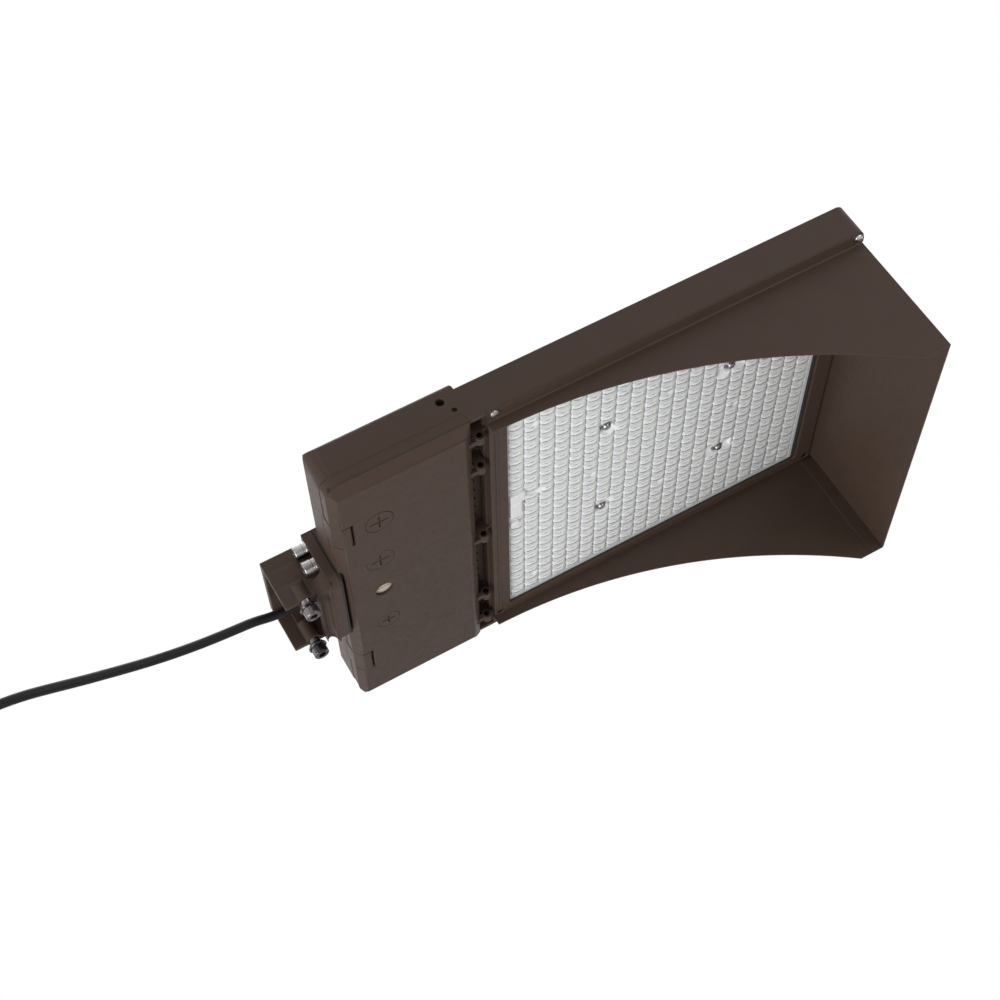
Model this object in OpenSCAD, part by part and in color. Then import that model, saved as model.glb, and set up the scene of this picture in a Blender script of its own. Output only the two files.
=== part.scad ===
// Shoebox area light on a short pole arm, with a bolted-on glare shield.
// Seen as it hangs in use: +Z up, light thrown downwards, +X away from the pole.
// The origin is the centre of the arm's open end, where the pole bracket goes in.

/* [Pole arm] */
// Reach of the arm channel behind its flange
arm_reach = 38.7; // [32:0.1:80]
// Width of the arm channel
arm_w = 75.6; // [70:0.1:84]
// Height of the arm channel
arm_h = 48.6; // [44:0.1:56]
// Thickness of the channel's side walls
arm_wall = 5.5; // [4:0.1:7]
// Thickness of the channel's roof
arm_roof = 6; // [4:0.1:9]
// Thickness of the flange
flange_t = 9.7; // [8:0.1:14]
// Width of the flange
flange_w = 101.6; // [98:0.1:106]
// Bottom of the flange below the arm's centre
flange_drop = 30; // [28:0.1:32]
// Corner radius of the flange's lower corners
flange_r = 11; // [6:0.5:14]
// Chamfer along the flange's lower rear edge
flange_chamfer = 0.8; // [0.4:0.1:2]
// Radius of the flare between the channel walls and the flange
flare_r = 11; // [6:0.5:11.5]
// Length of the rail across the closed end of the channel
rail_l = 10.9; // [9:0.1:12]
// Radius of the cove along the rail's underside
cove_r = 4.3; // [3:0.1:5]

/* [Housing] */
// Width of the housing over its side walls
housing_w = 347.8; // [335:0.1:380]
// Length of the housing from its rear wall to its front wall
housing_len = 493.1; // [470:0.1:560]
// Length of the driver box, the taller rear part
box_len = 128.6; // [126:0.1:140]
// Top of the driver box above the arm's centre
box_top = 24; // [23:0.1:32]
// Top of the light engine's side walls above the arm's centre
engine_top = 10.3; // [8:0.1:16]
// Parting line between the housing and the door, below the arm's centre
seam_drop = 22; // [21.5:0.1:24]
// Thickness of the cast walls
cast_wall = 3.4; // [2.6:0.1:4]
// Radius of the driver box's rounded top edges, front and rear
box_r = 13; // [6:0.5:13.5]
// Height of the driver box's upright sides above the arm's centre
box_side_top = 12.4; // [11.5:0.1:16]
// Radius between the upright sides and the roof's sloped edges
shoulder_r = 5; // [4:0.1:8]
// Radius of the housing's rear corners
rear_r = 14; // [8:0.5:18]
// Radius of the housing's front corners
front_r = 9; // [5:0.5:14]
// Depth of the shallow step along the foot of the driver box's walls
foot_step = 0.5; // [0.2:0.1:1]
// Number of cooling fins
fin_n = 24; // [12:1:30]
// Thickness of a fin at its root
fin_t = 3; // [2:0.1:4]
// Height of a fin's edge below the side walls' top
fin_drop = 1.5; // [0.5:0.1:4]

/* [Driver door] */
// Length of the door from its rear edge to its front edge
door_len = 124.6; // [122:0.1:125]
// Depth of the door below the parting line
door_depth = 8.2; // [7.5:0.1:9.5]
// Thickness of the door's plate
door_plate = 3.2; // [2.6:0.1:3.6]
// Bevel along the door's sides
bevel_side = 9.7; // [7:0.1:12]
// Bevel along the door's rear edge
bevel_rear = 6.6; // [5:0.1:8]
// Bevel along the door's front edge
bevel_front = 7.8; // [6:0.1:9]
// Depth of the scoop in the door's rear bevel that clears the flange
notch_depth = 3.2; // [2:0.1:5]
// Gap at the parting line
seam_gap = 0.4; // [0.3:0.1:1]
// Width of the trough between the door and the light engine
trough_w = 15; // [14.4:0.1:20]
// Diameter of the hinge pins
hinge_pin_d = 5; // [4:0.1:5.6]
// Outer diameter of the hinge knuckles
knuckle_d = 8.6; // [8.4:0.1:10.6]
// Diameter of the large plugs' faces
plug_d = 24.4; // [22:0.1:28]
// Diameter of the small plug's face
small_plug_d = 20.4; // [18:0.1:24]
// Diameter of the selector dial
dial_d = 15.2; // [12:0.1:18]
// Width of a latch
latch_w = 29; // [22:0.5:36]
// Distance of each latch from the middle
latch_y = 106.7; // [96:0.1:125]

/* [Optics] */
// Lenslets along the light
lens_nx = 21; // [12:1:24]
// Lenslets across the light
lens_ny = 23; // [12:1:24]
// Pitch of the lenslets along the light
lens_px = 14.52; // [12:0.01:14.7]
// Pitch of the lenslets across the light
lens_py = 12.76; // [10:0.01:12.8]
// Height of a lenslet's dome
lens_h = 3.2; // [2:0.1:3.6]
// Thickness of the lens plate
lens_plate = 2; // [1.5:0.1:2.6]
// Thickness of the lens frame
bezel_t = 3.2; // [2.4:0.1:4]

/* [Glare shield] */
// Width of the shield over its side plates
shield_w = 320.8; // [316:0.1:325]
// Depth of the shield below the housing at the front
shield_depth = 119.2; // [80:0.1:160]
// Depth of the side plates at their rear end
shield_rear_depth = 9.7; // [7:0.1:20]
// Length of the straight lower edge at the front corners
shield_straight = 25; // [10:1:60]
// Thickness of the shield's sheet
sheet_t = 1.5; // [1:0.1:2.5]

/* [Supply cord] */
// Diameter of the cord
cord_d = 8; // [7:0.1:8.3]

/* [Hidden] */

$fn = 64;
hull_fn = 32;
unit = 1;                   // one millimetre, the scale of the values below
over = unit;                // overrun of every cut
clear = 0.3 * unit;         // clearance between pieces that only lie near each other
run_fit = 0.05 * unit;      // radial clearance of a pin or a thread in its hole
deg_quarter = 90;
hex_share = 1 / sqrt(3);     // corner radius of a hexagon by its width over flats

// Places of the main planes
gasket_t = unit;
flange_x1 = arm_reach + flange_t;
pad_x = flange_x1 + gasket_t;
rear_x = pad_x;
box_x1 = rear_x + box_len;
front_x = rear_x + housing_len;
side_y = housing_w / 2;
seam_z = -seam_drop;
rim_z = seam_z + sheet_t;
door_z0 = seam_z - door_depth;
door_z1 = seam_z - seam_gap;
door_x1 = rear_x + door_len;
trough_x1 = door_x1 + trough_w;
arm_top = arm_h / 2;
arm_low = -arm_h / 2;

// Flange screws, two on each side of the arm channel
m8_r = 4 * unit;
m8_head_r = 6.5 * unit;
m8_head_h = 8 * unit;
m8_socket = 6 * unit;
m8_socket_h = 4 * unit;
screw_side_gap = 0.1 * unit;
screw_groove_r = m8_head_r + 0.7 * unit;
flange_screw_y = arm_w / 2 + m8_head_r - screw_side_gap;
flange_screw_top = arm_top - 10.3 * unit;
flange_screw_pitch = 17 * unit;
flange_screw_zs = [flange_screw_top, flange_screw_top - flange_screw_pitch];
flat_washer_t = 1.6 * unit;
spring_washer_t = 2 * unit;
washer_bore_r = m8_r + 0.25 * unit;
flange_washer_r = m8_head_r;
spring_washer_r = 6.2 * unit;
flange_stack = flat_washer_t + spring_washer_t;
screw_boss_t = 10 * unit;
screw_boss_r = 8 * unit;
flange_hole_r = m8_r + 0.5 * unit;

// Rail across the channel's closed end
rail_x0 = arm_reach - rail_l;
rail_z0 = -flange_drop + 0.3 * unit;
rail_h = 9.7 * unit;
cove_x = rail_x0 + 4.6 * unit;
cove_z = rail_z0 - unit;

// Lock screws that clamp the pole bracket in the channel
lock_x = 17.6 * unit;
lock_boss_r = 7 * unit;
lock_y = arm_w / 2 - lock_boss_r + 3.3 * unit;
lock_boss_h = 19 * unit;
lock_thread_show = 4.1 * unit;
lock_washer_r = 8 * unit;
lock_spring_r = 6.5 * unit;
lock_engaged = 15 * unit;
lock_head_z = arm_low - lock_thread_show - flat_washer_t - spring_washer_t;

// Cable gland through the flange
gland_z = -5.7 * unit;
gland_thread_r = 8 * unit;
gland_bore_r = gland_thread_r + 0.4 * unit;
gland_hex = 20 * unit;
gland_hex_t = 6 * unit;
gland_nut_r = 9.5 * unit;
gland_nut_h = 16.5 * unit;
gland_seal_t = 7 * unit;
gland_seal_r = 6.4 * unit;
gland_tip_r = 6.8 * unit;
gland_cone_h = 4 * unit;
gland_x0 = arm_reach - gland_hex_t - gland_nut_h;
gland_locknut_r = 11 * unit;
gland_locknut_t = 5 * unit;
cord_fit = 0.3 * unit;
cord_entry_more = 0.5 * unit;

// Driver box
box_in_z = box_top - cast_wall;
box_in_x0 = rear_x + cast_wall;
wall_x1 = door_x1;
box_in_x1 = wall_x1 - cast_wall;
rim_w = 9 * unit;
rim_h = 5 * unit;
groove_w = 4 * unit;
groove_h = 2.5 * unit;
groove_in = 3 * unit;
notch_gap = 1.4 * unit;
notch_w = flange_w + 2 * notch_gap;
notch_r = 3 * unit;
pad_w = 132 * unit;
pad_t = 5 * unit;
cord_entry_x1 = pad_x + pad_t + gland_locknut_t + cord_entry_more;
shoulder_tilt = 64;         // degrees that the roof's sloped edge faces up from level
foot_step_h = 10 * unit;

// Light engine
base_z0 = rim_z + 8.5 * unit;
base_t = 5 * unit;
base_z1 = base_z0 + base_t;
bay_gap = unit;
engine_wall = 4 * unit;
fin_gap = 4 * unit;
trough_z1 = seam_z + 12 * unit;
rib_t = 3 * unit;
drain_h = 9 * unit;
drain_share = 0.5;
side_hole_r = 3.4 * unit;
side_hole_small_r = 2 * unit;
side_hole_len = 8 * unit;
side_hole_x = door_x1 - 11 * unit;
side_hole_z = 4.9 * unit;
side_small_x = door_x1 - 4.5 * unit;
side_small_z = -6.6 * unit;
side_boss_r = 6.5 * unit;

// Door hinge along the trough
hinge_x = door_x1 + 7 * unit;
hinge_z = seam_z - 2 * unit;
knuckle_w = 5.4 * unit;
knuckle_gap = 0.4 * unit;
hinge_outer_y = 150.5 * unit;
hinge_mid_y = 108 * unit;
hinge_places = [[-hinge_outer_y, 1], [-hinge_mid_y, 1], [0, 1], [hinge_mid_y, -1], [hinge_outer_y, -1]];
hinge_arm_t = 4.6 * unit;
pin_len = rib_t + knuckle_gap + knuckle_w + unit;
lug_r = 4.2 * unit;
floor_rib_pitch = 13.2 * unit;
floor_rib_t = 1.4 * unit;
floor_rib_l = 6 * unit;
floor_rib_h = 2 * unit;
ledge_w = 1.8 * unit;
ledge_z = seam_z + 4 * unit;

// Plugs and dial in the door
plug_row_x = rear_x + 34.6 * unit;
plug_left_x = plug_row_x + 3.5 * unit;
plug_left_y = -109 * unit;
plug_mid_y = -51.6 * unit;
dial_y = -3 * unit;
small_plug_y = 50.1 * unit;
plug_head_t = 2.4 * unit;
plug_lip = 2.2 * unit;
plug_shank_h = 7 * unit;
plug_boss_h = 5.5 * unit;
plug_boss_wall = 3 * unit;
plug_slot_w = 1.3 * unit;
plug_slot_h = 1.2 * unit;
plug_slot_share = 0.67;
small_slot_share = 0.59;
ring_t = 1.8 * unit;
dial_sink = 2.6 * unit;
dial_t = 3 * unit;
dial_shaft_r = 3 * unit;
dial_shaft_h = 4 * unit;
dial_hole_r = dial_d / 2 + 0.5 * unit;
dial_mark_w = 0.8 * unit;
dial_mark_h = 0.5 * unit;
switch_w = 24 * unit;
switch_l = 30 * unit;
switch_h = 9 * unit;

// Latches
latch_t = 2.6 * unit;
latch_toe = 6.5 * unit;
latch_slot = 3 * unit;
latch_up = 14 * unit;
latch_gap = 0.5 * unit;
latch_pin_r = 1.2 * unit;
latch_knuckle_r = 2.2 * unit;
latch_toe_x = rear_x + bevel_rear + latch_toe;
latch_hinge_x = latch_toe_x - 0.3 * unit;
latch_hinge_z = door_z0 + latch_knuckle_r + 0.6 * unit;
latch_pin_len = latch_w + 8 * unit;
latch_ys = [-latch_y, latch_y];
latch_pad_side = 6 * unit;
latch_pad_front = 8 * unit;

// Optics
lens_x0 = trough_x1 + 19.8 * unit;
lens_w = lens_px * lens_nx;
lens_d = lens_py * lens_ny;
lens_x1 = lens_x0 + lens_w;
lens_z0 = rim_z + unit;
lens_rim = 6 * unit;
lens_foot = 1.6 * unit;
lens_z1 = lens_z0 + lens_plate;
board_t = 1.6 * unit;
board_z0 = base_z0 - board_t;
bezel_x0 = trough_x1 + 0.6 * unit;
bezel_x1 = front_x - 2.1 * unit - sheet_t - 2 * unit;
bezel_side = sheet_t + clear;
bezel_y = shield_w / 2 - bezel_side;
window_x0 = lens_x0 - 2.7 * unit;
window_x1 = lens_x1 + lens_rim;
window_y = lens_d / 2 + 1.3 * unit;
bezel_r = 4 * unit;
lens_screw_shares = [0.31, 0.714];
lens_row_share = 0.28;
lens_screw_cells = [for (c = lens_screw_shares) round(2 * c * lens_nx) / 2];
lens_screw_row = floor(lens_row_share * lens_ny);
lens_screw_xs = [for (c = lens_screw_cells) lens_x0 + c * lens_px];
lens_screw_y = lens_d / 2 - (lens_screw_row + 0.5) * lens_py;
lens_screw_head_r = 3.8 * unit;
lens_screw_head_h = 2.4 * unit;
lens_screw_r = 2 * unit;
bezel_screw_r = 1.6 * unit;
bezel_screw_head_r = 2.9 * unit;
bezel_screw_head_h = 1.8 * unit;
bezel_screw_len = 7 * unit;
bezel_seat_z = rim_z - bezel_t + bezel_screw_head_h;
gasket_w = 3 * unit;

// Glare shield
shield_front_x = front_x - 2.1 * unit;
shield_x0 = trough_x1;
shield_y = shield_w / 2;
shield_low = seam_z - shield_depth;
tab_w = (housing_w - shield_w) / 2 - 0.5 * unit;
bend_r = 1.5 * unit;
tab_x1 = shield_front_x + unit;
return_w = 12 * unit;
return_top = seam_z - 4 * unit;
arc_x = shield_front_x - shield_straight;
arc_z = seam_z - shield_rear_depth;
arc_run = arc_x - shield_x0;
arc_drop = arc_z - shield_low;
arc_r = (arc_run * arc_run + arc_drop * arc_drop) / (2 * arc_drop);
shield_screw_xs = [shield_x0 + 6.5 * unit, shield_front_x - 5.5 * unit];
shield_screw_y = shield_y + 8.4 * unit;
pan_r = 3.8 * unit;
pan_h = 2.6 * unit;
pan_shank_r = 2 * unit;
pan_len = 9 * unit;

// Inside the driver box
driver_l = 210 * unit;
driver_w = 62 * unit;
driver_h = 30 * unit;
driver_x0 = box_in_x1 - driver_w - 5 * unit;
driver_foot = 14 * unit;
driver_foot_t = 2 * unit;
driver_foot_y = driver_l / 2 - driver_foot / 2;
driver_mid_x = driver_x0 + driver_w / 2;
driver_r = 3 * unit;
driver_cap = 4 * unit;
post_h = 4 * unit;
driver_z1 = box_in_z - post_h;
driver_screw_r = 1.9 * unit;
surge_l = 56 * unit;
surge_w = 28 * unit;
surge_h = 24 * unit;
surge_y = -96 * unit;
surge_x = box_in_x0 + 12 * unit;
block_l = 36 * unit;
block_w = 22 * unit;
block_h = 16 * unit;
block_z0 = box_in_z - block_h;
block_ways = 3;
block_wire_share = 0.6;
block_screw_share = 0.7;
entry_share = 0.8;
block_pitch = 10 * unit;
block_y = 60 * unit;
block_off = 4 * unit;
block_x = pad_x + screw_boss_t + block_off + block_l / 2;
block_wire_z = box_in_z - block_h * block_wire_share;
wire_d = 2.6 * unit;
wire_lane = 3.2 * unit;

// Route of the supply cord, from the gland's mouth to the coil
cord_route = [
    [16.2, 0, -5.7], [6, -0.1, -5.8], [-8, -2.6, -6], [-24, -8.2, -6.3], [-42, -11.3, -6.6],
    [-59, -14.4, -7], [-75, -18.3, -7.5], [-90, -22.8, -8], [-105, -28.4, -8.7], [-119, -34.4, -9.4],
    [-134, -41.5, -10.2], [-148, -48.6, -11], [-162, -56, -11.9], [-177, -64.3, -12.8],
    [-191, -72.1, -13.6], [-206, -79.8, -14.4], [-221, -85.5, -15.1], [-238, -89.6, -15.8],
    [-256, -91, -16.3], [-274, -91, -16.7], [-290, -91, -16.8]
];
cord_end = cord_route[len(cord_route) - 1];
cord_sides = 10;
coil_r = 42 * unit;
coil_turns = 2.25;
coil_steps = 54;
coil_sides = 6;
coil_pitch = cord_d + 0.7 * unit;
coil_x = cord_end[0];
coil_y = cord_end[1] - coil_r;
tie_w = 4 * unit;
tie_t = 1.2 * unit;
tie_gap = 0.3 * unit;
lead_d = 2.8 * unit;
lead_l = 45 * unit;
lead_bare = 9 * unit;
lead_bare_r = 0.8 * unit;

// Colours
bronze = [0.27, 0.235, 0.215];
bronze_dark = [0.22, 0.19, 0.175];
steel = [0.72, 0.71, 0.70];
rubber_grey = [0.30, 0.32, 0.31];
black = [0.07, 0.07, 0.08];
clear_plastic = [0.86, 0.87, 0.86];

// A box from low corner to high corner
module span(low, high) {
    translate(low) cube([high[0] - low[0], high[1] - low[1], high[2] - low[2]]);
}

// A plate from z0 to z1 with the given plan corners and corner radii at low x and high x
module rounded_plan(x0, x1, y, z0, z1, r0, r1) {
    translate([0, 0, z0]) linear_extrude(z1 - z0) {
        difference() {
            translate([x0, -y]) square([x1 - x0, 2 * y]);
            for (s = [-1, 1]) {
                if (r0 > 0) corner_cut(x0, s * y, 1, -s, r0);
                if (r1 > 0) corner_cut(x1, s * y, -1, -s, r1);
            }
        }
    }
}

// What a rounded corner of radius r takes from a square corner at (x, y)
module corner_cut(x, y, dx, dy, r) {
    difference() {
        translate([x - (dx > 0 ? over : r), y - (dy > 0 ? over : r)]) square([r + over, r + over]);
        translate([x + dx * r, y + dy * r]) circle(r);
    }
}

// A profile in X and Z carried along Y, w wide about y
module along_y(y, w) {
    translate([0, y + w / 2, 0]) rotate([deg_quarter, 0, 0]) linear_extrude(w) children();
}

// A profile in Y and Z carried along X from x0 to x1
module along_x(x0, x1) {
    translate([x0, 0, 0]) rotate([deg_quarter, 0, deg_quarter]) linear_extrude(x1 - x0) children();
}

// A cylinder along X from x0 to x1
module rod_x(x0, x1, y, z, r) {
    translate([x0, y, z]) rotate([0, deg_quarter, 0]) cylinder(x1 - x0, r = r);
}

// A cylinder along Y from y0 to y1
module rod_y(x, y0, y1, z, r) {
    translate([x, y0, z]) rotate([-deg_quarter, 0, 0]) cylinder(y1 - y0, r = r);
}

// A cylinder along Z from z0 to z1
module rod_z(x, y, z0, z1, r) {
    translate([x, y, z0]) cylinder(z1 - z0, r = r);
}

// A socket-head screw along +Z with its head's underside at 0
module cap_screw(len, shank_r, head_r, head_h, socket, socket_h) {
    edge = head_h / 12;
    difference() {
        rotate_extrude() polygon([
            [0, -head_h], [head_r - edge, -head_h], [head_r, -head_h + edge],
            [head_r, 0], [shank_r, 0], [shank_r, len], [0, len]
        ]);
        translate([0, 0, -head_h - over])
            cylinder(socket_h + over, r = socket * hex_share, $fn = 6);
    }
}

// A pan-head screw along +Z with its head's underside at 0
module pan_screw(len, shank_r, head_r, head_h) {
    rim_share = 0.45;
    crown_share = 0.5;
    difference() {
        rotate_extrude() polygon([
            [0, -head_h], [head_r * crown_share, -head_h], [head_r, -head_h * rim_share],
            [head_r, 0], [shank_r, 0], [shank_r, len], [0, len]
        ]);
        for (turn = [0, deg_quarter])
            rotate([0, 0, turn])
                translate([-head_r * crown_share, -head_r / 8, -head_h - over])
                    cube([head_r, head_r / 4, over + head_h * rim_share]);
    }
}

// A flat ring along Z from z0 to z1
module ring_z(z0, z1, r, bore) {
    difference() {
        translate([0, 0, z0]) cylinder(z1 - z0, r = r);
        translate([0, 0, z0 - over]) cylinder(z1 - z0 + 2 * over, r = bore);
    }
}

// Flange outline in Y and Z
module flange_outline() {
    difference() {
        translate([-flange_w / 2, -flange_drop]) square([flange_w, flange_drop + arm_top]);
        for (s = [-1, 1]) corner_cut(s * flange_w / 2, -flange_drop, -s, 1, flange_r);
    }
}

// The cast arm: a channel open below and at its end, with the flange that bolts to the housing
module pole_arm() {
    color(bronze) difference() {
        union() {
            along_x(0, arm_reach + over) arm_section();
            end_rail();
            intersection() {
                along_x(arm_reach, flange_x1) flange_outline();
                along_y(0, flange_w + 2 * over) polygon([
                    [arm_reach, arm_top], [flange_x1, arm_top], [flange_x1, -flange_drop],
                    [arm_reach + flange_chamfer, -flange_drop],
                    [arm_reach, -flange_drop + flange_chamfer]
                ]);
            }
            for (s = [-1, 1]) {
                flare(s);
                rod_z(lock_x, s * lock_y, arm_low, arm_low + lock_boss_h, lock_boss_r);
            }
        }
        // Flange holes and the grooves that clear the screw heads
        for (s = [-1, 1]) for (z = flange_screw_zs) {
            rod_x(arm_reach - over, flange_x1 + over, s * flange_screw_y, z, flange_hole_r);
            rod_x(-over, arm_reach, s * flange_screw_y, z, screw_groove_r);
        }
        for (s = [-1, 1])
            rod_z(lock_x, s * lock_y, arm_low - over, arm_low + lock_engaged + over, m8_r + run_fit);
        rod_x(arm_reach - over, flange_x1 + over, 0, gland_z, gland_bore_r);
        rod_y(cove_x, -flange_w / 2, flange_w / 2, cove_z, cove_r);
        // Step in the side walls at the open end, where the pole bracket bears
        step_cut();
    }
}

// Rail that closes the channel's lower side at the flange
module end_rail() {
    span([rail_x0, -arm_w / 2, rail_z0], [arm_reach + over, arm_w / 2, rail_z0 + rail_h]);
}

// Channel section in Y and Z
module arm_section() {
    difference() {
        translate([-arm_w / 2, arm_low]) square([arm_w, arm_h]);
        translate([-arm_w / 2 + arm_wall, arm_low - over])
            square([arm_w - 2 * arm_wall, arm_h - arm_roof + over]);
    }
}

// Flare from a channel wall out to the flange, below the screws
module flare(s) {
    flare_z1 = flange_screw_zs[1] - screw_groove_r - clear;
    translate([arm_reach, s * arm_w / 2, rail_z0])
        linear_extrude(flare_z1 - rail_z0)
            difference() {
                translate([-flare_r, s > 0 ? -arm_wall / 2 : -flare_r])
                    square([flare_r + over, flare_r + arm_wall / 2]);
                translate([-flare_r, s * flare_r]) circle(flare_r);
            }
}

// Shallow step inside the channel's open end
module step_cut() {
    step_x = 12 * unit;
    step_in = 1.2 * unit;
    step_h = 9 * unit;
    for (s = [-1, 1])
        translate([-over, s * (arm_w / 2 - arm_wall + step_in / 2) - step_in / 2, arm_low - over])
            cube([step_x + over, step_in, arm_h - arm_roof - step_h + over]);
}

// Sheet gasket between the flange and the housing
module arm_gasket() {
    inset = 0.3 * unit;
    edge = flange_w / 2 - inset;
    low = -flange_drop + inset;
    color(rubber_grey) difference() {
        along_x(flange_x1, pad_x) difference() {
            translate([-edge, low]) square([2 * edge, box_top - low]);
            for (s = [-1, 1]) corner_cut(s * edge, low, -s, 1, flange_r - inset);
        }
        for (s = [-1, 1]) for (z = flange_screw_zs)
            rod_x(flange_x1 - over, pad_x + over, s * flange_screw_y, z, flange_hole_r);
        rod_x(flange_x1 - over, pad_x + over, 0, gland_z, gland_bore_r);
    }
}

// Four M8 cap screws that hold the arm on
module flange_screws() {
    len = flange_stack + flange_t + gasket_t + screw_boss_t;
    color(steel)
        for (s = [-1, 1]) for (z = flange_screw_zs)
            translate([arm_reach - flange_stack, s * flange_screw_y, z])
                rotate([0, deg_quarter, 0])
                    cap_screw(len, m8_r, m8_head_r, m8_head_h, m8_socket, m8_socket_h);
}

// A flat and a spring washer under each flange screw
module flange_washers() {
    color(steel)
        for (s = [-1, 1]) for (z = flange_screw_zs)
            translate([arm_reach - flange_stack, s * flange_screw_y, z])
                rotate([0, deg_quarter, 0]) {
                    ring_z(0, spring_washer_t, spring_washer_r, washer_bore_r);
                    ring_z(spring_washer_t, flange_stack, flange_washer_r, washer_bore_r);
                }
}

// Two M8 cap screws up into the channel's bosses
module lock_screws() {
    len = spring_washer_t + flat_washer_t + lock_thread_show + lock_engaged;
    color(steel)
        for (s = [-1, 1])
            translate([lock_x, s * lock_y, lock_head_z])
                cap_screw(len, m8_r, m8_head_r, m8_head_h, m8_socket, m8_socket_h);
}

// A flat and a spring washer on each lock screw
module lock_washers() {
    color(steel)
        for (s = [-1, 1])
            translate([lock_x, s * lock_y, lock_head_z]) {
                ring_z(0, flat_washer_t, lock_washer_r, washer_bore_r);
                ring_z(flat_washer_t, flat_washer_t + spring_washer_t, lock_spring_r, washer_bore_r);
            }
}

// Side view of the housing in X and Z: tall driver box, then the low light engine
module housing_profile() {
    difference() {
        union() {
            translate([rear_x, seam_z]) square([box_len, box_top - seam_z]);
            translate([rear_x, seam_z]) square([trough_x1 - rear_x, engine_top - seam_z]);
            translate([rear_x, rim_z]) square([housing_len, engine_top - rim_z]);
        }
        corner_cut(rear_x, box_top, 1, -1, box_r);
        corner_cut(box_x1, box_top, -1, -1, box_r);
    }
}

// End view of the driver box in Y and Z, a distance in from its outer faces:
// upright sides, rounded shoulders and the sloped edges of the roof
module box_end_view(inset) {
    r = shoulder_r - inset;
    centre_y = side_y - shoulder_r;
    top = box_top - inset;
    slope_y = centre_y + r * cos(shoulder_tilt);
    slope_z = box_side_top + r * sin(shoulder_tilt);
    roof_y = slope_y - (top - slope_z) * tan(shoulder_tilt);
    for (s = [-1, 1]) {
        translate([s * centre_y, box_side_top]) circle(r);
        polygon([
            [0, seam_z], [s * (side_y - inset), seam_z], [s * (side_y - inset), box_side_top],
            [s * centre_y, box_side_top], [s * slope_y, slope_z], [s * roof_y, top], [0, top]
        ]);
    }
}

// Outer form of the housing
module housing_form() {
    intersection() {
        rounded_plan(rear_x, front_x, side_y, seam_z - over, box_top + over, rear_r, front_r);
        along_y(0, housing_w + 2 * over) housing_profile();
        along_x(rear_x - over, front_x + over) box_end_view(0);
    }
}

// The cast housing: driver box, hinge trough and finned light engine in one piece
module housing() {
    color(bronze) difference() {
        union() {
            difference() {
                housing_form();
                box_cavity();
                trough_cavity();
                engine_cavities();
            }
            housing_bosses();
            flange_seat();
            trough_ribs();
            trough_floor();
            cooling_fins();
        }
        foot_step_cut();
        for (y = latch_ys) latch_recess(y);
        housing_holes();
    }
}

// Inside of the driver box, with a wider rim left at its mouth
module box_cavity() {
    in_r = box_r - cast_wall;
    intersection() {
        rounded_plan(
            box_in_x0, box_in_x1, side_y - cast_wall, seam_z + rim_h, box_in_z, rear_r - cast_wall, 0
        );
        along_x(box_in_x0 - over, box_in_x1 + over) box_end_view(cast_wall);
        along_y(0, housing_w) difference() {
            translate([box_in_x0, seam_z]) square([box_in_x1 - box_in_x0, box_in_z - seam_z]);
            corner_cut(box_in_x0, box_in_z, 1, -1, in_r);
        }
    }
    rounded_plan(
        rear_x + rim_w, wall_x1 - rim_w, side_y - rim_w, seam_z - over, seam_z + rim_h + over,
        rear_r - rim_w, 0
    );
}

// Square-edged seat for the flange, in place of the box's rounded rear edge
module flange_seat() {
    span([rear_x, -flange_w / 2, seam_z], [rear_x + cast_wall, flange_w / 2, box_top]);
    span([rear_x, -flange_w / 2, box_in_z], [rear_x + box_r, flange_w / 2, box_top]);
}

// Shallow step along the foot of the driver box's walls, left out behind the flange
module foot_step_cut() {
    z1 = seam_z + foot_step_h;
    difference() {
        span([rear_x - over, -side_y - over, seam_z - over], [door_x1, side_y + over, z1]);
        rounded_plan(
            rear_x + foot_step, door_x1 + over, side_y - foot_step, seam_z - 2 * over, z1 + over,
            rear_r - foot_step, 0
        );
        span([rear_x - 2 * over, -pad_w / 2, seam_z - 2 * over], [rear_x + 2 * over, pad_w / 2, z1 + over]);
    }
}

// The trough that the door's hinge works in
module trough_cavity() {
    span([door_x1, -side_y + engine_wall, seam_z - over], [trough_x1, side_y - engine_wall, trough_z1]);
}

// The bay for the optics below and the open fin bed above
module engine_cavities() {
    bay = lens_rim + bay_gap;
    span(
        [lens_x0 - bay, -lens_d / 2 - bay, rim_z - over],
        [lens_x1 + bay, lens_d / 2 + bay, base_z0]
    );
    span(
        [box_x1 + engine_wall, -side_y + engine_wall, base_z1],
        [front_x - engine_wall, side_y - engine_wall, engine_top + over]
    );
}

// Thick wall behind the flange, screw bosses, driver posts, side bosses and latch backing
module housing_bosses() {
    backing_t = 3.4 * unit;
    backing_edge = 4 * unit;
    intersection() {
        union() {
            span([box_in_x0 - over, -pad_w / 2, seam_z], [pad_x + pad_t, pad_w / 2, box_in_z + over]);
            for (s = [-1, 1]) for (z = flange_screw_zs)
                rod_x(box_in_x0, pad_x + screw_boss_t, s * flange_screw_y, z, screw_boss_r);
            for (y = latch_ys)
                span(
                    [box_in_x0 - over, y - latch_w / 2 - backing_edge, seam_z],
                    [box_in_x0 + backing_t, y + latch_w / 2 + backing_edge, seam_z + latch_up + backing_edge]
                );
            for (s = [-1, 1]) side_boss(s);
        }
        housing_form();
    }
    for (s = [-1, 1]) driver_post(s);
}

// Boss inside a side wall for the threaded side hole
module side_boss(s) {
    y_in = side_y - side_hole_len - cast_wall;
    y_out = side_y - over;
    rod_y(side_hole_x, s > 0 ? y_in : -y_out, s > 0 ? y_out : -y_in, side_hole_z, side_boss_r);
}

// Recess in the rear wall that a closed latch lies in
module latch_recess(y) {
    w = latch_w / 2 + latch_gap;
    z1 = seam_z + latch_up + latch_gap;
    span([rear_x - over, y - w, seam_z - over], [rear_x + latch_t + latch_gap, y + w, z1]);
}

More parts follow.
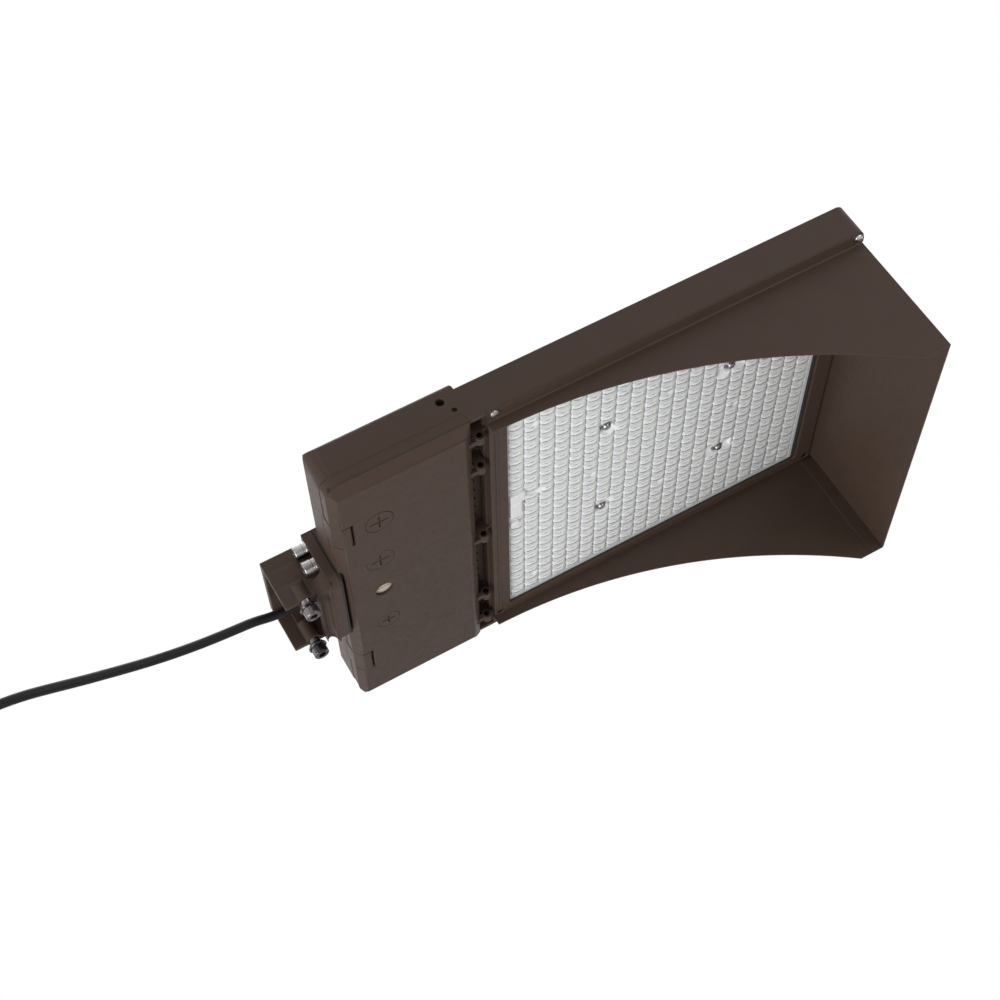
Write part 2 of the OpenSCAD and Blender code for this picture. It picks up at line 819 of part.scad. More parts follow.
// Post under a foot of the driver
module driver_post(s) {
    post_r = 5 * unit;
    rod_z(driver_mid_x, s * driver_foot_y, driver_z1, box_in_z + over, post_r);
}

// Lugs that carry the hinge pins, and ribs across the trough
module trough_ribs() {
    for (h = hinge_places) {
        along_y(h[0], rib_t) {
            translate([hinge_x - lug_r, hinge_z]) square([2 * lug_r, trough_z1 - hinge_z + over]);
            translate([hinge_x, hinge_z]) circle(lug_r);
        }
        if (abs(h[0]) != hinge_mid_y)
            span(
                [door_x1 - over, h[0] - rib_t / 2, rim_z],
                [trough_x1 + over, h[0] + rib_t / 2, trough_z1 + over]
            );
    }
}

// Short ribs on the trough's floor, and the ledge along its front wall
module trough_floor() {
    y = side_y - engine_wall;
    n = floor(y / floor_rib_pitch);
    for (i = [-n:n])
        span(
            [door_x1 + floor_rib_t, i * floor_rib_pitch - floor_rib_t / 2, trough_z1 - floor_rib_h],
            [door_x1 + floor_rib_t + floor_rib_l, i * floor_rib_pitch + floor_rib_t / 2, trough_z1 + over]
        );
    span([trough_x1 - ledge_w, -y - over, ledge_z], [trough_x1 + over, y + over, trough_z1 + over]);
}

// Cooling fins along the light, thicker at the root
module cooling_fins() {
    fin_h = engine_top - fin_drop - base_z1;
    bed_w = housing_w - 2 * engine_wall;
    pitch = bed_w / (fin_n + 1);
    tip_share = 0.6;
    for (i = [1:fin_n])
        along_x(box_x1 + engine_wall - over, front_x - engine_wall - fin_gap)
            translate([-bed_w / 2 + i * pitch, base_z1 - over])
                polygon([
                    [-fin_t / 2, 0], [fin_t / 2, 0],
                    [fin_t * tip_share / 2, fin_h + over], [-fin_t * tip_share / 2, fin_h + over]
                ]);
}

// Every hole in the housing
module housing_holes() {
    for (s = [-1, 1]) for (z = flange_screw_zs)
        rod_x(pad_x - over, pad_x + screw_boss_t + over, s * flange_screw_y, z, m8_r + run_fit);
    rod_x(pad_x - over, pad_x + pad_t + over, 0, gland_z, gland_bore_r);
    for (h = hinge_places) rod_y(hinge_x, h[0] - rib_t, h[0] + rib_t, hinge_z, hinge_pin_d / 2 + run_fit);
    for (s = [-1, 1]) {
        side_hole(s, side_hole_x, side_hole_z, side_hole_len, side_hole_r);
        side_hole(s, side_small_x, side_small_z, cast_wall - clear, side_hole_small_r);
        rod_z(driver_mid_x, s * driver_foot_y, driver_z1 - over, box_in_z, driver_screw_r + run_fit);
        for (x = shield_screw_xs)
            rod_z(x, s * shield_screw_y, rim_z - over, rim_z + pan_len, pan_shank_r + run_fit);
    }
    for (x = lens_screw_xs) for (s = [-1, 1])
        rod_z(x, s * lens_screw_y, base_z0 - over, base_z1 - unit, lens_screw_r + run_fit);
    gasket_groove();
    drain_slots();
    bezel_screw_holes(rim_z - over, rim_z + bezel_screw_len, bezel_screw_r + run_fit);
}

// Blind hole from a side face inwards
module side_hole(s, x, z, depth, r) {
    rod_y(x, s > 0 ? side_y - depth : -side_y - over, s > 0 ? side_y + over : -side_y + depth, z, r);
}

// Groove for the door gasket around the mouth of the driver box
module gasket_groove() {
    translate([0, 0, seam_z - over]) linear_extrude(groove_h + over)
        difference() {
            groove_outline(groove_in);
            groove_outline(groove_in + groove_w);
        }
}

// Plan of the gasket line, a distance in from the box's outer faces
module groove_outline(inset) {
    x0 = pad_x + inset;
    x1 = wall_x1 - inset;
    y = side_y - inset;
    translate([x0, -y]) square([x1 - x0, 2 * y]);
}

// Slots through the front wall that drain the fin bed
module drain_slots() {
    bed_w = housing_w - 2 * engine_wall;
    pitch = bed_w / (fin_n + 1);
    w = pitch * drain_share;
    for (i = [0:fin_n])
        translate([front_x - engine_wall - over, -bed_w / 2 + (i + 0.5) * pitch - w / 2, base_z1])
            cube([engine_wall + 2 * over, w, drain_h]);
}

// Foam gasket in the groove, just clear of the closed door
module door_gasket() {
    gasket_side = 0.2 * unit;
    color(rubber_grey)
        translate([0, 0, seam_z - seam_gap + clear]) linear_extrude(groove_h + seam_gap - clear)
            difference() {
                groove_outline(groove_in + gasket_side);
                groove_outline(groove_in + groove_w - gasket_side);
            }
}

// Steel hinge pins, pressed in the lugs, each carrying one knuckle of the door
module hinge_pins() {
    color(steel)
        for (h = hinge_places)
            rod_y(
                hinge_x, h[1] > 0 ? h[0] - rib_t / 2 : h[0] + rib_t / 2 - pin_len,
                h[1] > 0 ? h[0] - rib_t / 2 + pin_len : h[0] + rib_t / 2, hinge_z, hinge_pin_d / 2
            );
}

// Driver in its sheet case with a foot at each end
module led_driver() {
    x0 = driver_x0;
    l = driver_l - 2 * driver_foot;
    color([0.80, 0.80, 0.79]) {
        difference() {
            union() {
                along_y(0, l) difference() {
                    translate([x0, driver_z1 - driver_h]) square([driver_w, driver_h]);
                    corner_cut(x0, driver_z1 - driver_h, 1, 1, driver_r);
                    corner_cut(x0 + driver_w, driver_z1 - driver_h, -1, 1, driver_r);
                }
                span(
                    [x0, -driver_l / 2, driver_z1 - driver_foot_t],
                    [x0 + driver_w, driver_l / 2, driver_z1]
                );
            }
            for (s = [-1, 1])
                rod_z(
                    driver_mid_x, s * driver_foot_y, driver_z1 - driver_h, driver_z1 + over,
                    driver_screw_r + clear
                );
        }
    }
}

// Screws through the driver's feet
module driver_screws() {
    color(steel)
        for (s = [-1, 1])
            translate([driver_mid_x, s * driver_foot_y, driver_z1 - driver_foot_t])
                pan_screw(driver_foot_t + post_h, driver_screw_r, driver_screw_r * 2, driver_screw_r * 1.3);
}

// Surge protector, a potted block glued to the roof of the box
module surge_protector() {
    color([0.13, 0.13, 0.14])
        translate([surge_x, surge_y, box_in_z - surge_h])
            linear_extrude(surge_h) difference() {
                translate([0, -surge_l / 2]) square([surge_w, surge_l]);
                for (s = [-1, 1]) {
                    corner_cut(0, s * surge_l / 2, 1, -s, driver_r);
                    corner_cut(surge_w, s * surge_l / 2, -1, -s, driver_r);
                }
            }
}

// X of way i of the terminal block
function way_x(i) = block_x + (i - (block_ways - 1) / 2) * block_pitch;

// Terminal block hung from the roof, with wire entries fore and aft and a screw over each way
module terminal_block() {
    color([0.88, 0.87, 0.83])
        difference() {
            span(
                [block_x - block_l / 2, block_y - block_w / 2, block_z0],
                [block_x + block_l / 2, block_y + block_w / 2, box_in_z]
            );
            for (i = [0:block_ways - 1]) {
                rod_y(
                    way_x(i), block_y - block_w / 2 - over, block_y + block_w / 2 + over, block_wire_z,
                    wire_d * entry_share
                );
                rod_z(way_x(i), block_y, block_z0 - over, box_in_z - block_h * block_screw_share, wire_d);
            }
        }
}

// Ring of a tube round point p, square to direction d
function ring_pts(p, d, r, n) =
    let (
        f = d / norm(d),
        a = cross(f, [0, 0, 1]),
        u = a / norm(a),
        v = cross(u, f)
    )
    [for (k = [0:n - 1]) p + r * (cos(360 * k / n) * u + sin(360 * k / n) * v)];

// Direction of a route at its point i
function heading(route, i) =
    let (n = len(route) - 1)
    i == 0 ? route[1] - route[0] : i == n ? route[n] - route[n - 1] : route[i + 1] - route[i - 1];

// Direction of the tube's rings, with the first and last square to what they meet
function ring_dirs(route, first, last) =
    let (n = len(route) - 1)
    [for (i = [0:n]) i == 0 && first != undef ? first : i == n && last != undef ? last : heading(route, i)];

// One closed tube swept along a route
module tube(route, r, n, first, last) {
    m = len(route);
    dirs = ring_dirs(route, first, last);
    points = [for (i = [0:m - 1]) each ring_pts(route[i], dirs[i], r, n)];
    sides = [for (i = [0:m - 2]) for (k = [0:n - 1])
        let (a = i * n + k, b = i * n + (k + 1) % n)
        each [[a, b, b + n], [a, b + n, a + n]]];
    caps = [
        [for (k = [0:n - 1]) n - 1 - k],
        [for (k = [0:n - 1]) (m - 1) * n + k]
    ];
    polyhedron(points, concat(sides, caps), convexity = 10);
}

// Smooth points along a hand-set route, by the Catmull-Rom rule
function smooth_route(route, parts) =
    let (n = len(route) - 1)
    [for (i = [0:n - 1]) for (k = [0:parts - 1])
        let (
            t = k / parts,
            a = i > 0 ? route[i - 1] : 2 * route[0] - route[1],
            b = route[i],
            c = route[i + 1],
            d = i < n - 1 ? route[i + 2] : 2 * route[n] - route[n - 1]
        )
        (2 * b + (c - a) * t + (2 * a - 5 * b + 4 * c - d) * t * t + (3 * b - a - 3 * c + d) * t * t * t) / 2,
    route[n]];

// Colours of the three leads
lead_colours = [[0.1, 0.1, 0.1], [0.85, 0.85, 0.85], [0.1, 0.45, 0.2]];

// Leads from the supply cord's end to the terminal block
module supply_leads() {
    stub = 4 * unit;
    turn_r = 12 * unit;
    for (i = [0:block_ways - 1]) {
        y0 = (1 - i) * wire_lane;
        x1 = way_x(i);
        y1 = block_y - block_w / 2;
        route = smooth_route([
            [cord_entry_x1, y0, gland_z],
            [cord_entry_x1 + stub, y0, gland_z],
            [x1 - stub / 4, y0 + turn_r, gland_z + (block_wire_z - gland_z) / 4],
            [x1, (y0 + y1) / 2 + stub, (gland_z + block_wire_z) / 2],
            [x1, y1 - stub, block_wire_z],
            [x1, y1 + stub, block_wire_z]
        ], 3);
        color(lead_colours[i]) tube(route, wire_d / 2, 6, [1, 0, 0], [0, 1, 0]);
    }
}

// Leads from the terminal block round to the driver's end
module driver_leads() {
    stub = 4 * unit;
    case_y = driver_l / 2 - driver_foot;
    end_z = driver_z1 - driver_h / 2;
    for (i = [0:block_ways - 1]) {
        x0 = way_x(i);
        x1 = driver_x0 + driver_w / 4 + (block_ways - i) * 2 * wire_lane;
        top_y = case_y + 2 * stub + (block_ways - i) * wire_lane;
        route = smooth_route([
            [x0, block_y + block_w / 2 - stub, block_wire_z],
            [x0, block_y + block_w / 2 + stub, block_wire_z],
            [x0 + stub, top_y, (block_wire_z + end_z) / 2],
            [(x0 + x1) / 2, top_y + 2 * stub, end_z],
            [x1 - stub / 2, top_y + stub / 2, end_z],
            [x1, case_y + stub, end_z],
            [x1, case_y, end_z]
        ], 3);
        color(lead_colours[i]) tube(route, wire_d / 2, 6, [0, 1, 0], [0, -1, 0]);
    }
}

// Body of the cable gland: hex collar in the channel, thread through the flange
module cable_gland() {
    bore_r = cord_d / 2 + unit;
    color(black) difference() {
        union() {
            translate([arm_reach - gland_hex_t, 0, gland_z]) rotate([0, deg_quarter, 0])
                cylinder(gland_hex_t, r = gland_hex * hex_share, $fn = 6);
            rod_x(arm_reach - over, pad_x + pad_t + gland_locknut_t, 0, gland_z, gland_thread_r);
        }
        rod_x(0, cord_entry_x1, 0, gland_z, bore_r);
    }
}

// Rubber sleeve that grips the cord in the clamping nut
module gland_seal() {
    x1 = arm_reach - gland_hex_t;
    color(rubber_grey) difference() {
        rod_x(x1 - gland_seal_t, x1, 0, gland_z, gland_seal_r);
        rod_x(x1 - gland_seal_t - over, x1 + over, 0, gland_z, cord_d / 2 + run_fit);
    }
}

// Jacketed end of the cord inside the gland
module cord_entry() {
    color(black) rod_x(gland_x0, cord_entry_x1 - run_fit, 0, gland_z, cord_d / 2);
}

// Clamping nut of the gland with its domed mouth
module gland_nut() {
    grips = 6;
    x1 = arm_reach - gland_hex_t;
    color(black) difference() {
        translate([x1, 0, gland_z]) rotate([0, -deg_quarter, 0])
            rotate_extrude() polygon([
                [gland_seal_r, 0], [gland_nut_r, 0], [gland_nut_r, gland_nut_h - gland_cone_h],
                [gland_tip_r, gland_nut_h], [cord_d / 2 + cord_fit, gland_nut_h],
                [cord_d / 2 + cord_fit, gland_seal_t], [gland_seal_r, gland_seal_t]
            ]);
        for (k = [0:grips - 1])
            translate([x1, 0, gland_z]) rotate([k * 360 / grips, 0, 0])
                rod_x(-gland_nut_h - over, over, gland_nut_r + unit, 0, 2 * unit);
    }
}

// Lock nut of the gland inside the driver box
module gland_locknut() {
    x0 = pad_x + pad_t;
    color(black) difference() {
        translate([x0, 0, gland_z]) rotate([0, deg_quarter, 0])
            cylinder(gland_locknut_t, r = gland_locknut_r, $fn = 6);
        rod_x(x0 - over, x0 + gland_locknut_t + over, 0, gland_z, gland_thread_r + run_fit);
    }
}

// Aluminium-core board that carries the LEDs
module led_board() {
    margin = 3 * unit;
    color([0.90, 0.91, 0.90]) difference() {
        span(
            [lens_x0 - margin, -lens_d / 2 - margin, board_z0],
            [lens_x1 + margin, lens_d / 2 + margin, base_z0]
        );
        for (x = lens_screw_xs) for (s = [-1, 1])
            rod_z(x, s * lens_screw_y, board_z0 - over, base_z0 + over, lens_screw_r + clear);
    }
}

// Whether a cell of the lens plate is left open over a screw of the board
function open_cell(i, j) =
    len([for (c = lens_screw_cells) if (abs(i + 0.5 - c) <= 0.5) c]) > 0
    && (j == lens_screw_row || j == lens_ny - 1 - lens_screw_row);

// Whether there is plate in cell (i, j)
function plate_cell(i, j) = i >= 0 && i < lens_nx && j >= 0 && j < lens_ny && !open_cell(i, j);

// Moulded plate with a faceted dome under every LED, one sheet with a window at each board screw
module lens_array() {
    flat_z = lens_z0 + lens_plate / 2;
    row = lens_ny + 1;
    layer = (lens_nx + 1) * row;
    corners = [for (i = [0:lens_nx]) for (j = [0:lens_ny])
        [lens_x0 + i * lens_px, -lens_d / 2 + j * lens_py]];
    points = concat(
        [for (c = corners) [c[0], c[1], flat_z]],
        [for (c = corners) [c[0], c[1], lens_z1]],
        [for (i = [0:lens_nx - 1]) for (j = [0:lens_ny - 1])
            [lens_x0 + (i + 0.5) * lens_px, -lens_d / 2 + (j + 0.5) * lens_py, flat_z - lens_h]]
    );
    faces = [for (i = [0:lens_nx - 1]) for (j = [0:lens_ny - 1]) if (plate_cell(i, j))
        let (
            a = i * row + j,
            b = a + row,
            c = b + 1,
            d = a + 1,
            tip = 2 * layer + i * lens_ny + j
        )
        each concat(
            [[a, b, tip], [b, c, tip], [c, d, tip], [d, a, tip]],
            [[a + layer, d + layer, c + layer, b + layer]],
            plate_cell(i - 1, j) ? [] : [[d + layer, a + layer, a, d]],
            plate_cell(i + 1, j) ? [] : [[b + layer, c + layer, c, b]],
            plate_cell(i, j - 1) ? [] : [[a + layer, b + layer, b, a]],
            plate_cell(i, j + 1) ? [] : [[c + layer, d + layer, d, c]]
        )];
    color(clear_plastic) polyhedron(points, faces, convexity = 10);
}

// Frame round the lens plate: a margin on the gasket and a skirt that stands on the base
module lens_frame() {
    x = lens_w / 2;
    y = lens_d / 2;
    color(clear_plastic) translate([lens_x0 + x, 0, 0]) difference() {
        span([-x - lens_rim, -y - lens_rim, lens_z0], [x + lens_rim, y + lens_rim, base_z0]);
        span([-x, -y, lens_z0 - over], [x, y, base_z0]);
        span(
            [-x - lens_rim + lens_foot, -y - lens_rim + lens_foot, lens_z1],
            [x + lens_rim - lens_foot, y + lens_rim - lens_foot, base_z0 + over]
        );
    }
}

// Silicone ring between the lens plate and its frame
module lens_gasket() {
    outer = lens_rim;
    color(rubber_grey) difference() {
        span(
            [lens_x0 - outer, -lens_d / 2 - outer, rim_z],
            [lens_x1 + outer, lens_d / 2 + outer, lens_z0]
        );
        span(
            [lens_x0 - outer + gasket_w, -lens_d / 2 - outer + gasket_w, rim_z - over],
            [lens_x1 + outer - gasket_w, lens_d / 2 + outer - gasket_w, lens_z0 + over]
        );
    }
}

// Four screws that hold the board to the base, in the windows of the lens plate
module lens_screws() {
    color(steel)
        for (x = lens_screw_xs) for (s = [-1, 1])
            translate([x, s * lens_screw_y, board_z0])
                pan_screw(base_z1 - 2 * unit - board_z0, lens_screw_r, lens_screw_head_r, lens_screw_head_h);
}

// Places of the bezel's screws, in from its edges
module bezel_screw_places() {
    inset = 6 * unit;
    for (s = [-1, 1]) for (x = [bezel_x0 + inset, bezel_x1 - inset])
        translate([x, s * (bezel_y - inset), 0]) children();
}

// Holes on the bezel's screws
module bezel_screw_holes(z0, z1, r) {
    bezel_screw_places() translate([0, 0, z0]) cylinder(z1 - z0, r = r);
}

// Frame that holds the lens plate up against the housing
module bezel() {
    ridge_w = 2 * unit;
    ridge_h = 0.8 * unit;
    ridge_x = 5 * unit;
    color(bronze) difference() {
        union() {
            rounded_plan(bezel_x0, bezel_x1, bezel_y, rim_z - bezel_t, rim_z, bezel_r, bezel_r);
            span([bezel_x0 + ridge_x, -bezel_y + ridge_x, rim_z - bezel_t - ridge_h],
                [bezel_x0 + ridge_x + ridge_w, bezel_y - ridge_x, rim_z]);
        }
        rounded_plan(window_x0, window_x1, window_y, rim_z - bezel_t - over, rim_z + over, bezel_r, bezel_r);
        bezel_screw_holes(rim_z - bezel_t - over, rim_z + over, bezel_screw_r + clear);
        bezel_screw_holes(rim_z - bezel_t - over, bezel_seat_z, bezel_screw_head_r + clear);
    }
}

// Sunk screws at the bezel's corners
module bezel_screws() {
    color(steel)
        bezel_screw_places()
            translate([0, 0, bezel_seat_z])
                pan_screw(
                    rim_z - bezel_seat_z + bezel_screw_len - unit, bezel_screw_r,
                    bezel_screw_head_r, bezel_screw_head_h
                );
}

// Outline of a side plate in X and Z: shallow behind, full depth in front, on one arc
module shield_side_outline() {
    difference() {
        translate([shield_x0, shield_low]) square([shield_front_x - shield_x0, rim_z - shield_low]);
        translate([shield_x0, arc_z - arc_r]) circle(arc_r, $fn = 180);
    }
}

// A side plate with its tab folded out under the housing's rim
module shield_side(s) {
    y0 = s > 0 ? shield_y - sheet_t : -shield_y;
    tab_y0 = s > 0 ? shield_y - sheet_t : -shield_y - tab_w;
    tab_y = shield_y + tab_w;
    color(bronze) difference() {
        union() {
            along_y(y0 + sheet_t / 2, sheet_t) shield_side_outline();
            intersection() {
                span([shield_x0, tab_y0, seam_z], [tab_x1, tab_y0 + tab_w + sheet_t, rim_z]);
                rounded_plan(shield_x0 - over, tab_x1, tab_y, seam_z, rim_z, 0, front_r);
            }
            along_x(shield_x0, shield_front_x - sheet_t) corner_cut(s * shield_y, seam_z, s, -1, bend_r);
        }
        for (x = shield_screw_xs)
            rod_z(x, s * shield_screw_y, seam_z - over, rim_z + over, pan_shank_r + clear);
        span([shield_front_x - sheet_t, -shield_y, shield_low - over], [front_x, shield_y, rim_z + over]);
    }
}

// Front plate of the shield, with a fold at each end that laps inside the side plate
module shield_front() {
    color(bronze) {
        span([shield_front_x - sheet_t, -shield_y, shield_low], [shield_front_x, shield_y, rim_z]);
        for (s = [-1, 1]) {
            y0 = s > 0 ? shield_y - 2 * sheet_t : -shield_y + sheet_t;
            span(
                [shield_front_x - sheet_t - return_w, y0, shield_low + sheet_t],
                [shield_front_x, y0 + sheet_t, return_top]
            );
        }
    }
}

// Left side plate
module shield_left() {
    shield_side(-1);
}

// Right side plate
module shield_right() {
    shield_side(1);
}

// Pan screws through the side plates' tabs
module shield_screws() {
    color(steel)
        for (s = [-1, 1]) for (x = shield_screw_xs)
            translate([x, s * shield_screw_y, seam_z])
                pan_screw(pan_len, pan_shank_r, pan_r, pan_h);
}

// Side view of the door's outside in X and Z
module door_profile() {
    polygon([
        [rear_x, door_z1], [rear_x, seam_z - unit], [rear_x + bevel_rear, door_z0],
        [door_x1 - bevel_front, door_z0], [door_x1, seam_z - unit], [door_x1, door_z1]
    ]);
}

// End view of the door's outside in Y and Z
module door_end_view() {
    polygon([
        [-side_y, door_z1], [-side_y, seam_z - unit], [-side_y + bevel_side, door_z0],
        [side_y - bevel_side, door_z0], [side_y, seam_z - unit], [side_y, door_z1]
    ]);
}

// The cast door: a bevelled tray with hinge knuckles, plug bosses and latch pockets
module driver_door() {
    color(bronze) difference() {
        union() {
            difference() {
                door_form();
                door_hollow();
            }
            intersection() {
                door_form();
                latch_pads();
            }
            door_bosses();
            door_knuckles();
        }
        door_scoop();
        door_holes();
        for (y = latch_ys) latch_pocket(y);
    }
}

// Outer form of the door, bevelled all round
module door_form() {
    intersection() {
        rounded_plan(rear_x, door_x1, side_y, door_z0 - over, door_z1, rear_r, unit);
        along_y(0, housing_w + 2 * over) door_profile();
        along_x(rear_x - over, door_x1 + over) door_end_view();
    }
}

// Scoop in the rear bevel that clears the flange, with rounded ends
module door_scoop() {
    rounded_plan(
        rear_x - notch_r - over, rear_x + notch_depth, notch_w / 2, door_z0 - over, door_z1 + over, 0, notch_r
    );
}

// Hollow of the door's tray
module door_hollow() {
    edge = rim_w + 3 * unit;
    rounded_plan(
        pad_x + rim_w, door_x1 - edge, side_y - edge - unit, door_z0 + door_plate, door_z1 + over, unit, unit
    );
}

// Stiffening pads round the latches
module latch_pads() {
    for (y = latch_ys)
        span(
            [pad_x, y - latch_w / 2 - latch_pad_side, door_z0],
            [latch_hinge_x + latch_pad_front, y + latch_w / 2 + latch_pad_side, door_z1]
        );
}

// Bosses round the plugs and the dial
module door_bosses() {
    top = door_z0 + door_plate + plug_boss_h;
    rod_z(plug_left_x, plug_left_y, door_z0 + plug_head_t, top, plug_d / 2 + plug_boss_wall - plug_lip);
    rod_z(plug_row_x, plug_mid_y, door_z0 + plug_head_t, top, plug_d / 2 + plug_boss_wall - plug_lip);
    rod_z(plug_row_x, small_plug_y, door_z0 + plug_head_t, top, small_plug_d / 2 + plug_boss_wall - plug_lip);
    rod_z(plug_row_x, dial_y, door_z0 + unit, door_z0 + dial_sink + dial_t, dial_hole_r + plug_boss_wall);
}

// Knuckles on the hinge pins, with the arms that reach them from the door's front edge
module door_knuckles() {
    for (h = hinge_places) {
        near = h[0] + h[1] * (rib_t / 2 + knuckle_gap);
        y0 = min(near, near + h[1] * knuckle_w);
        y1 = y0 + knuckle_w;
        rod_y(hinge_x, y0, y1, hinge_z, knuckle_d / 2);
        span(
            [door_x1 - bevel_front / 2, y0, hinge_z - hinge_arm_t / 2],
            [hinge_x, y1, min(hinge_z + hinge_arm_t / 2, door_z1)]
        );
    }
}

// Every hole in the door
module door_holes() {
    plug_hole(plug_left_x, plug_left_y, plug_d);
    plug_hole(plug_row_x, plug_mid_y, plug_d);
    plug_hole(plug_row_x, small_plug_y, small_plug_d);
    rod_z(plug_row_x, dial_y, door_z0 - over, door_z1 + over, dial_hole_r);
    for (h = hinge_places)
        rod_y(hinge_x, h[0] - pin_len - over, h[0] + pin_len + over, hinge_z, hinge_pin_d / 2 + run_fit);
}

// Stepped hole for a plug of face diameter d
module plug_hole(x, y, d) {
    rod_z(x, y, door_z0 - over, door_z0 + plug_head_t, d / 2 + clear);
    rod_z(x, y, door_z0, door_z1 + plug_boss_h, d / 2 - plug_lip + run_fit);
}

// Pocket in the door's rear edge for a latch, its knuckle and its pin
module latch_pocket(y) {
    w = latch_w + 2 * latch_gap;
    turn_r = latch_hinge_z - door_z0 + latch_gap;
    along_y(y, w) {
        latch_outline(latch_gap, over);
        translate([latch_hinge_x, latch_hinge_z]) circle(turn_r);
        translate([rear_x, door_z0 - over])
            square([latch_toe_x + latch_slot - rear_x, latch_hinge_z - door_z0 + over]);
    }
    rod_y(latch_hinge_x, y - latch_pin_len / 2, y + latch_pin_len / 2, latch_hinge_z, latch_pin_r + run_fit);
}

// Side view of a latch: along the door's face, round its bevel and up the rear wall
module latch_outline(gap, out) {
    t = latch_t + gap;
    up = seam_z + latch_up + gap;
    bend_share = 0.4;
    polygon([
        [latch_toe_x, door_z0 + t], [latch_toe_x, door_z0 - out],
        [rear_x + bevel_rear - out, door_z0 - out], [rear_x - out, seam_z - unit - out], [rear_x - out, up],
        [rear_x + t, up], [rear_x + t, seam_z - unit + t * bend_share],
        [rear_x + bevel_rear + t * bend_share, door_z0 + t]
    ]);
}

// A latch lever with its knuckle on the pin at its front end
module latch(y) {
    y0 = y - latch_w / 2;
    y1 = y + latch_w / 2;
    color(bronze) difference() {
        union() {
            along_y(y, latch_w) latch_outline(0, 0);
            rod_y(latch_hinge_x, y0, y1, latch_hinge_z, latch_knuckle_r);
        }
        rod_y(latch_hinge_x, y0 - over, y1 + over, latch_hinge_z, latch_pin_r + run_fit);
    }
}

// Left latch
module latch_left() {
    latch(-latch_y);
}

// Right latch
module latch_right() {
    latch(latch_y);
}

// Pins of the two latches, held in the door on both sides of each latch
module latch_pins() {
    color(steel)
        for (y = latch_ys)
            rod_y(latch_hinge_x, y - latch_pin_len / 2, y + latch_pin_len / 2, latch_hinge_z, latch_pin_r);
}

// A screw plug: flush face with a cross slot, shank in the door's boss
module plug(x, y, d, slot_share) {
    color(bronze_dark) difference() {
        union() {
            rod_z(x, y, door_z0, door_z0 + plug_head_t - clear, d / 2);
            rod_z(x, y, door_z0, door_z0 + plug_shank_h, d / 2 - plug_lip);
        }
        for (turn = [0, deg_quarter])
            translate([x, y, door_z0]) rotate([0, 0, turn])
                translate([-d * slot_share / 2, -plug_slot_w / 2, -over])
                    cube([d * slot_share, plug_slot_w, plug_slot_h + over]);
    }
}

// Plug nearest the left end
module large_plug_left() {
    plug(plug_left_x, plug_left_y, plug_d, plug_slot_share);
}

// Second large plug
module large_plug_middle() {
    plug(plug_row_x, plug_mid_y, plug_d, plug_slot_share);
}

// Small plug
module small_plug() {
    plug(plug_row_x, small_plug_y, small_plug_d, small_slot_share);
}

// Seals on the inner ends of the three plug bosses
module plug_seals() {
    top = door_z0 + door_plate + plug_boss_h;
    places = [
        [plug_left_x, plug_left_y, plug_d],
        [plug_row_x, plug_mid_y, plug_d],
        [plug_row_x, small_plug_y, small_plug_d]
    ];
    color(black)
        for (p = places)
            translate([p[0], p[1], top])
                ring_z(0, ring_t, p[2] / 2 - plug_lip + ring_t, p[2] / 2 - plug_lip + clear);
}

// Rotary switch on the door's inside, under the dial
module selector_switch() {
    z0 = door_z0 + dial_sink + dial_t;
    color([0.12, 0.12, 0.13]) difference() {
        span(
            [plug_row_x - switch_w / 2, dial_y - switch_l / 2, z0],
            [plug_row_x + switch_w / 2, dial_y + switch_l / 2, z0 + switch_h]
        );
        rod_z(plug_row_x, dial_y, z0 - over, z0 + dial_shaft_h + clear, dial_shaft_r + run_fit);
    }
}

// Recessed dial with a pointer line
module selector_dial() {
    z0 = door_z0 + dial_sink;
    color([0.80, 0.79, 0.76]) difference() {
        union() {
            rod_z(plug_row_x, dial_y, z0, z0 + dial_t - clear, dial_d / 2);
            rod_z(plug_row_x, dial_y, z0, z0 + dial_t + dial_shaft_h, dial_shaft_r);
        }
        translate([plug_row_x - dial_d / 2 - over, dial_y - dial_mark_w / 2, z0 - over])
            cube([dial_d + 2 * over, dial_mark_w, dial_mark_h + over]);
    }
}

// Free stretch of the supply cord
module power_cord() {
    color(black) tube(smooth_route(cord_route * unit, 2), cord_d / 2, cord_sides, [-1, 0, 0], [-1, 0, 0]);
}

// Point of the coil at turn t, counted from the cord's end: down one pitch a turn
function coil_point(t) =
    [coil_x - coil_r * sin(360 * t), coil_y + coil_r * cos(360 * t), cord_end[2] - coil_pitch * t];

coil_route = [for (k = [0:coil_steps]) coil_point(coil_turns * k / coil_steps)];
coil_per_turn = coil_steps / coil_turns;
coil_step = coil_route[coil_steps] - coil_route[coil_steps - 1];
coil_out = [coil_step[0], coil_step[1], 0];

// Least distance from the coil's centreline to itself, a near turn or more away
coil_near = min([
    for (i = [0:coil_steps]) for (j = [i + floor(coil_per_turn * 0.6):coil_steps])
        if (j <= coil_steps) norm(coil_route[i] - coil_route[j])
]);
echo("least gap in the coil", coil_near - cord_d);

// Spare cord in a tied coil, one unbroken tube
module cord_coil() {
    color(black) tube(coil_route, cord_d / 2, coil_sides, [-1, 0, 0], coil_out);
}

// Cable tie round two turns of the coil, opposite the cord's way in
module cord_tie() {
    half = cord_d / 2 + tie_gap;
    z1 = coil_point(0.5)[2] + half;
    z0 = coil_point(1.5)[2] - half;
    y = coil_point(0.5)[1];
    color(black) difference() {
        span(
            [coil_x - tie_w / 2, y - half - tie_t, z0 - tie_t],
            [coil_x + tie_w / 2, y + half + tie_t, z1 + tie_t]
        );
        span([coil_x - tie_w, y - half, z0], [coil_x + tie_w, y + half, z1]);
    }
}

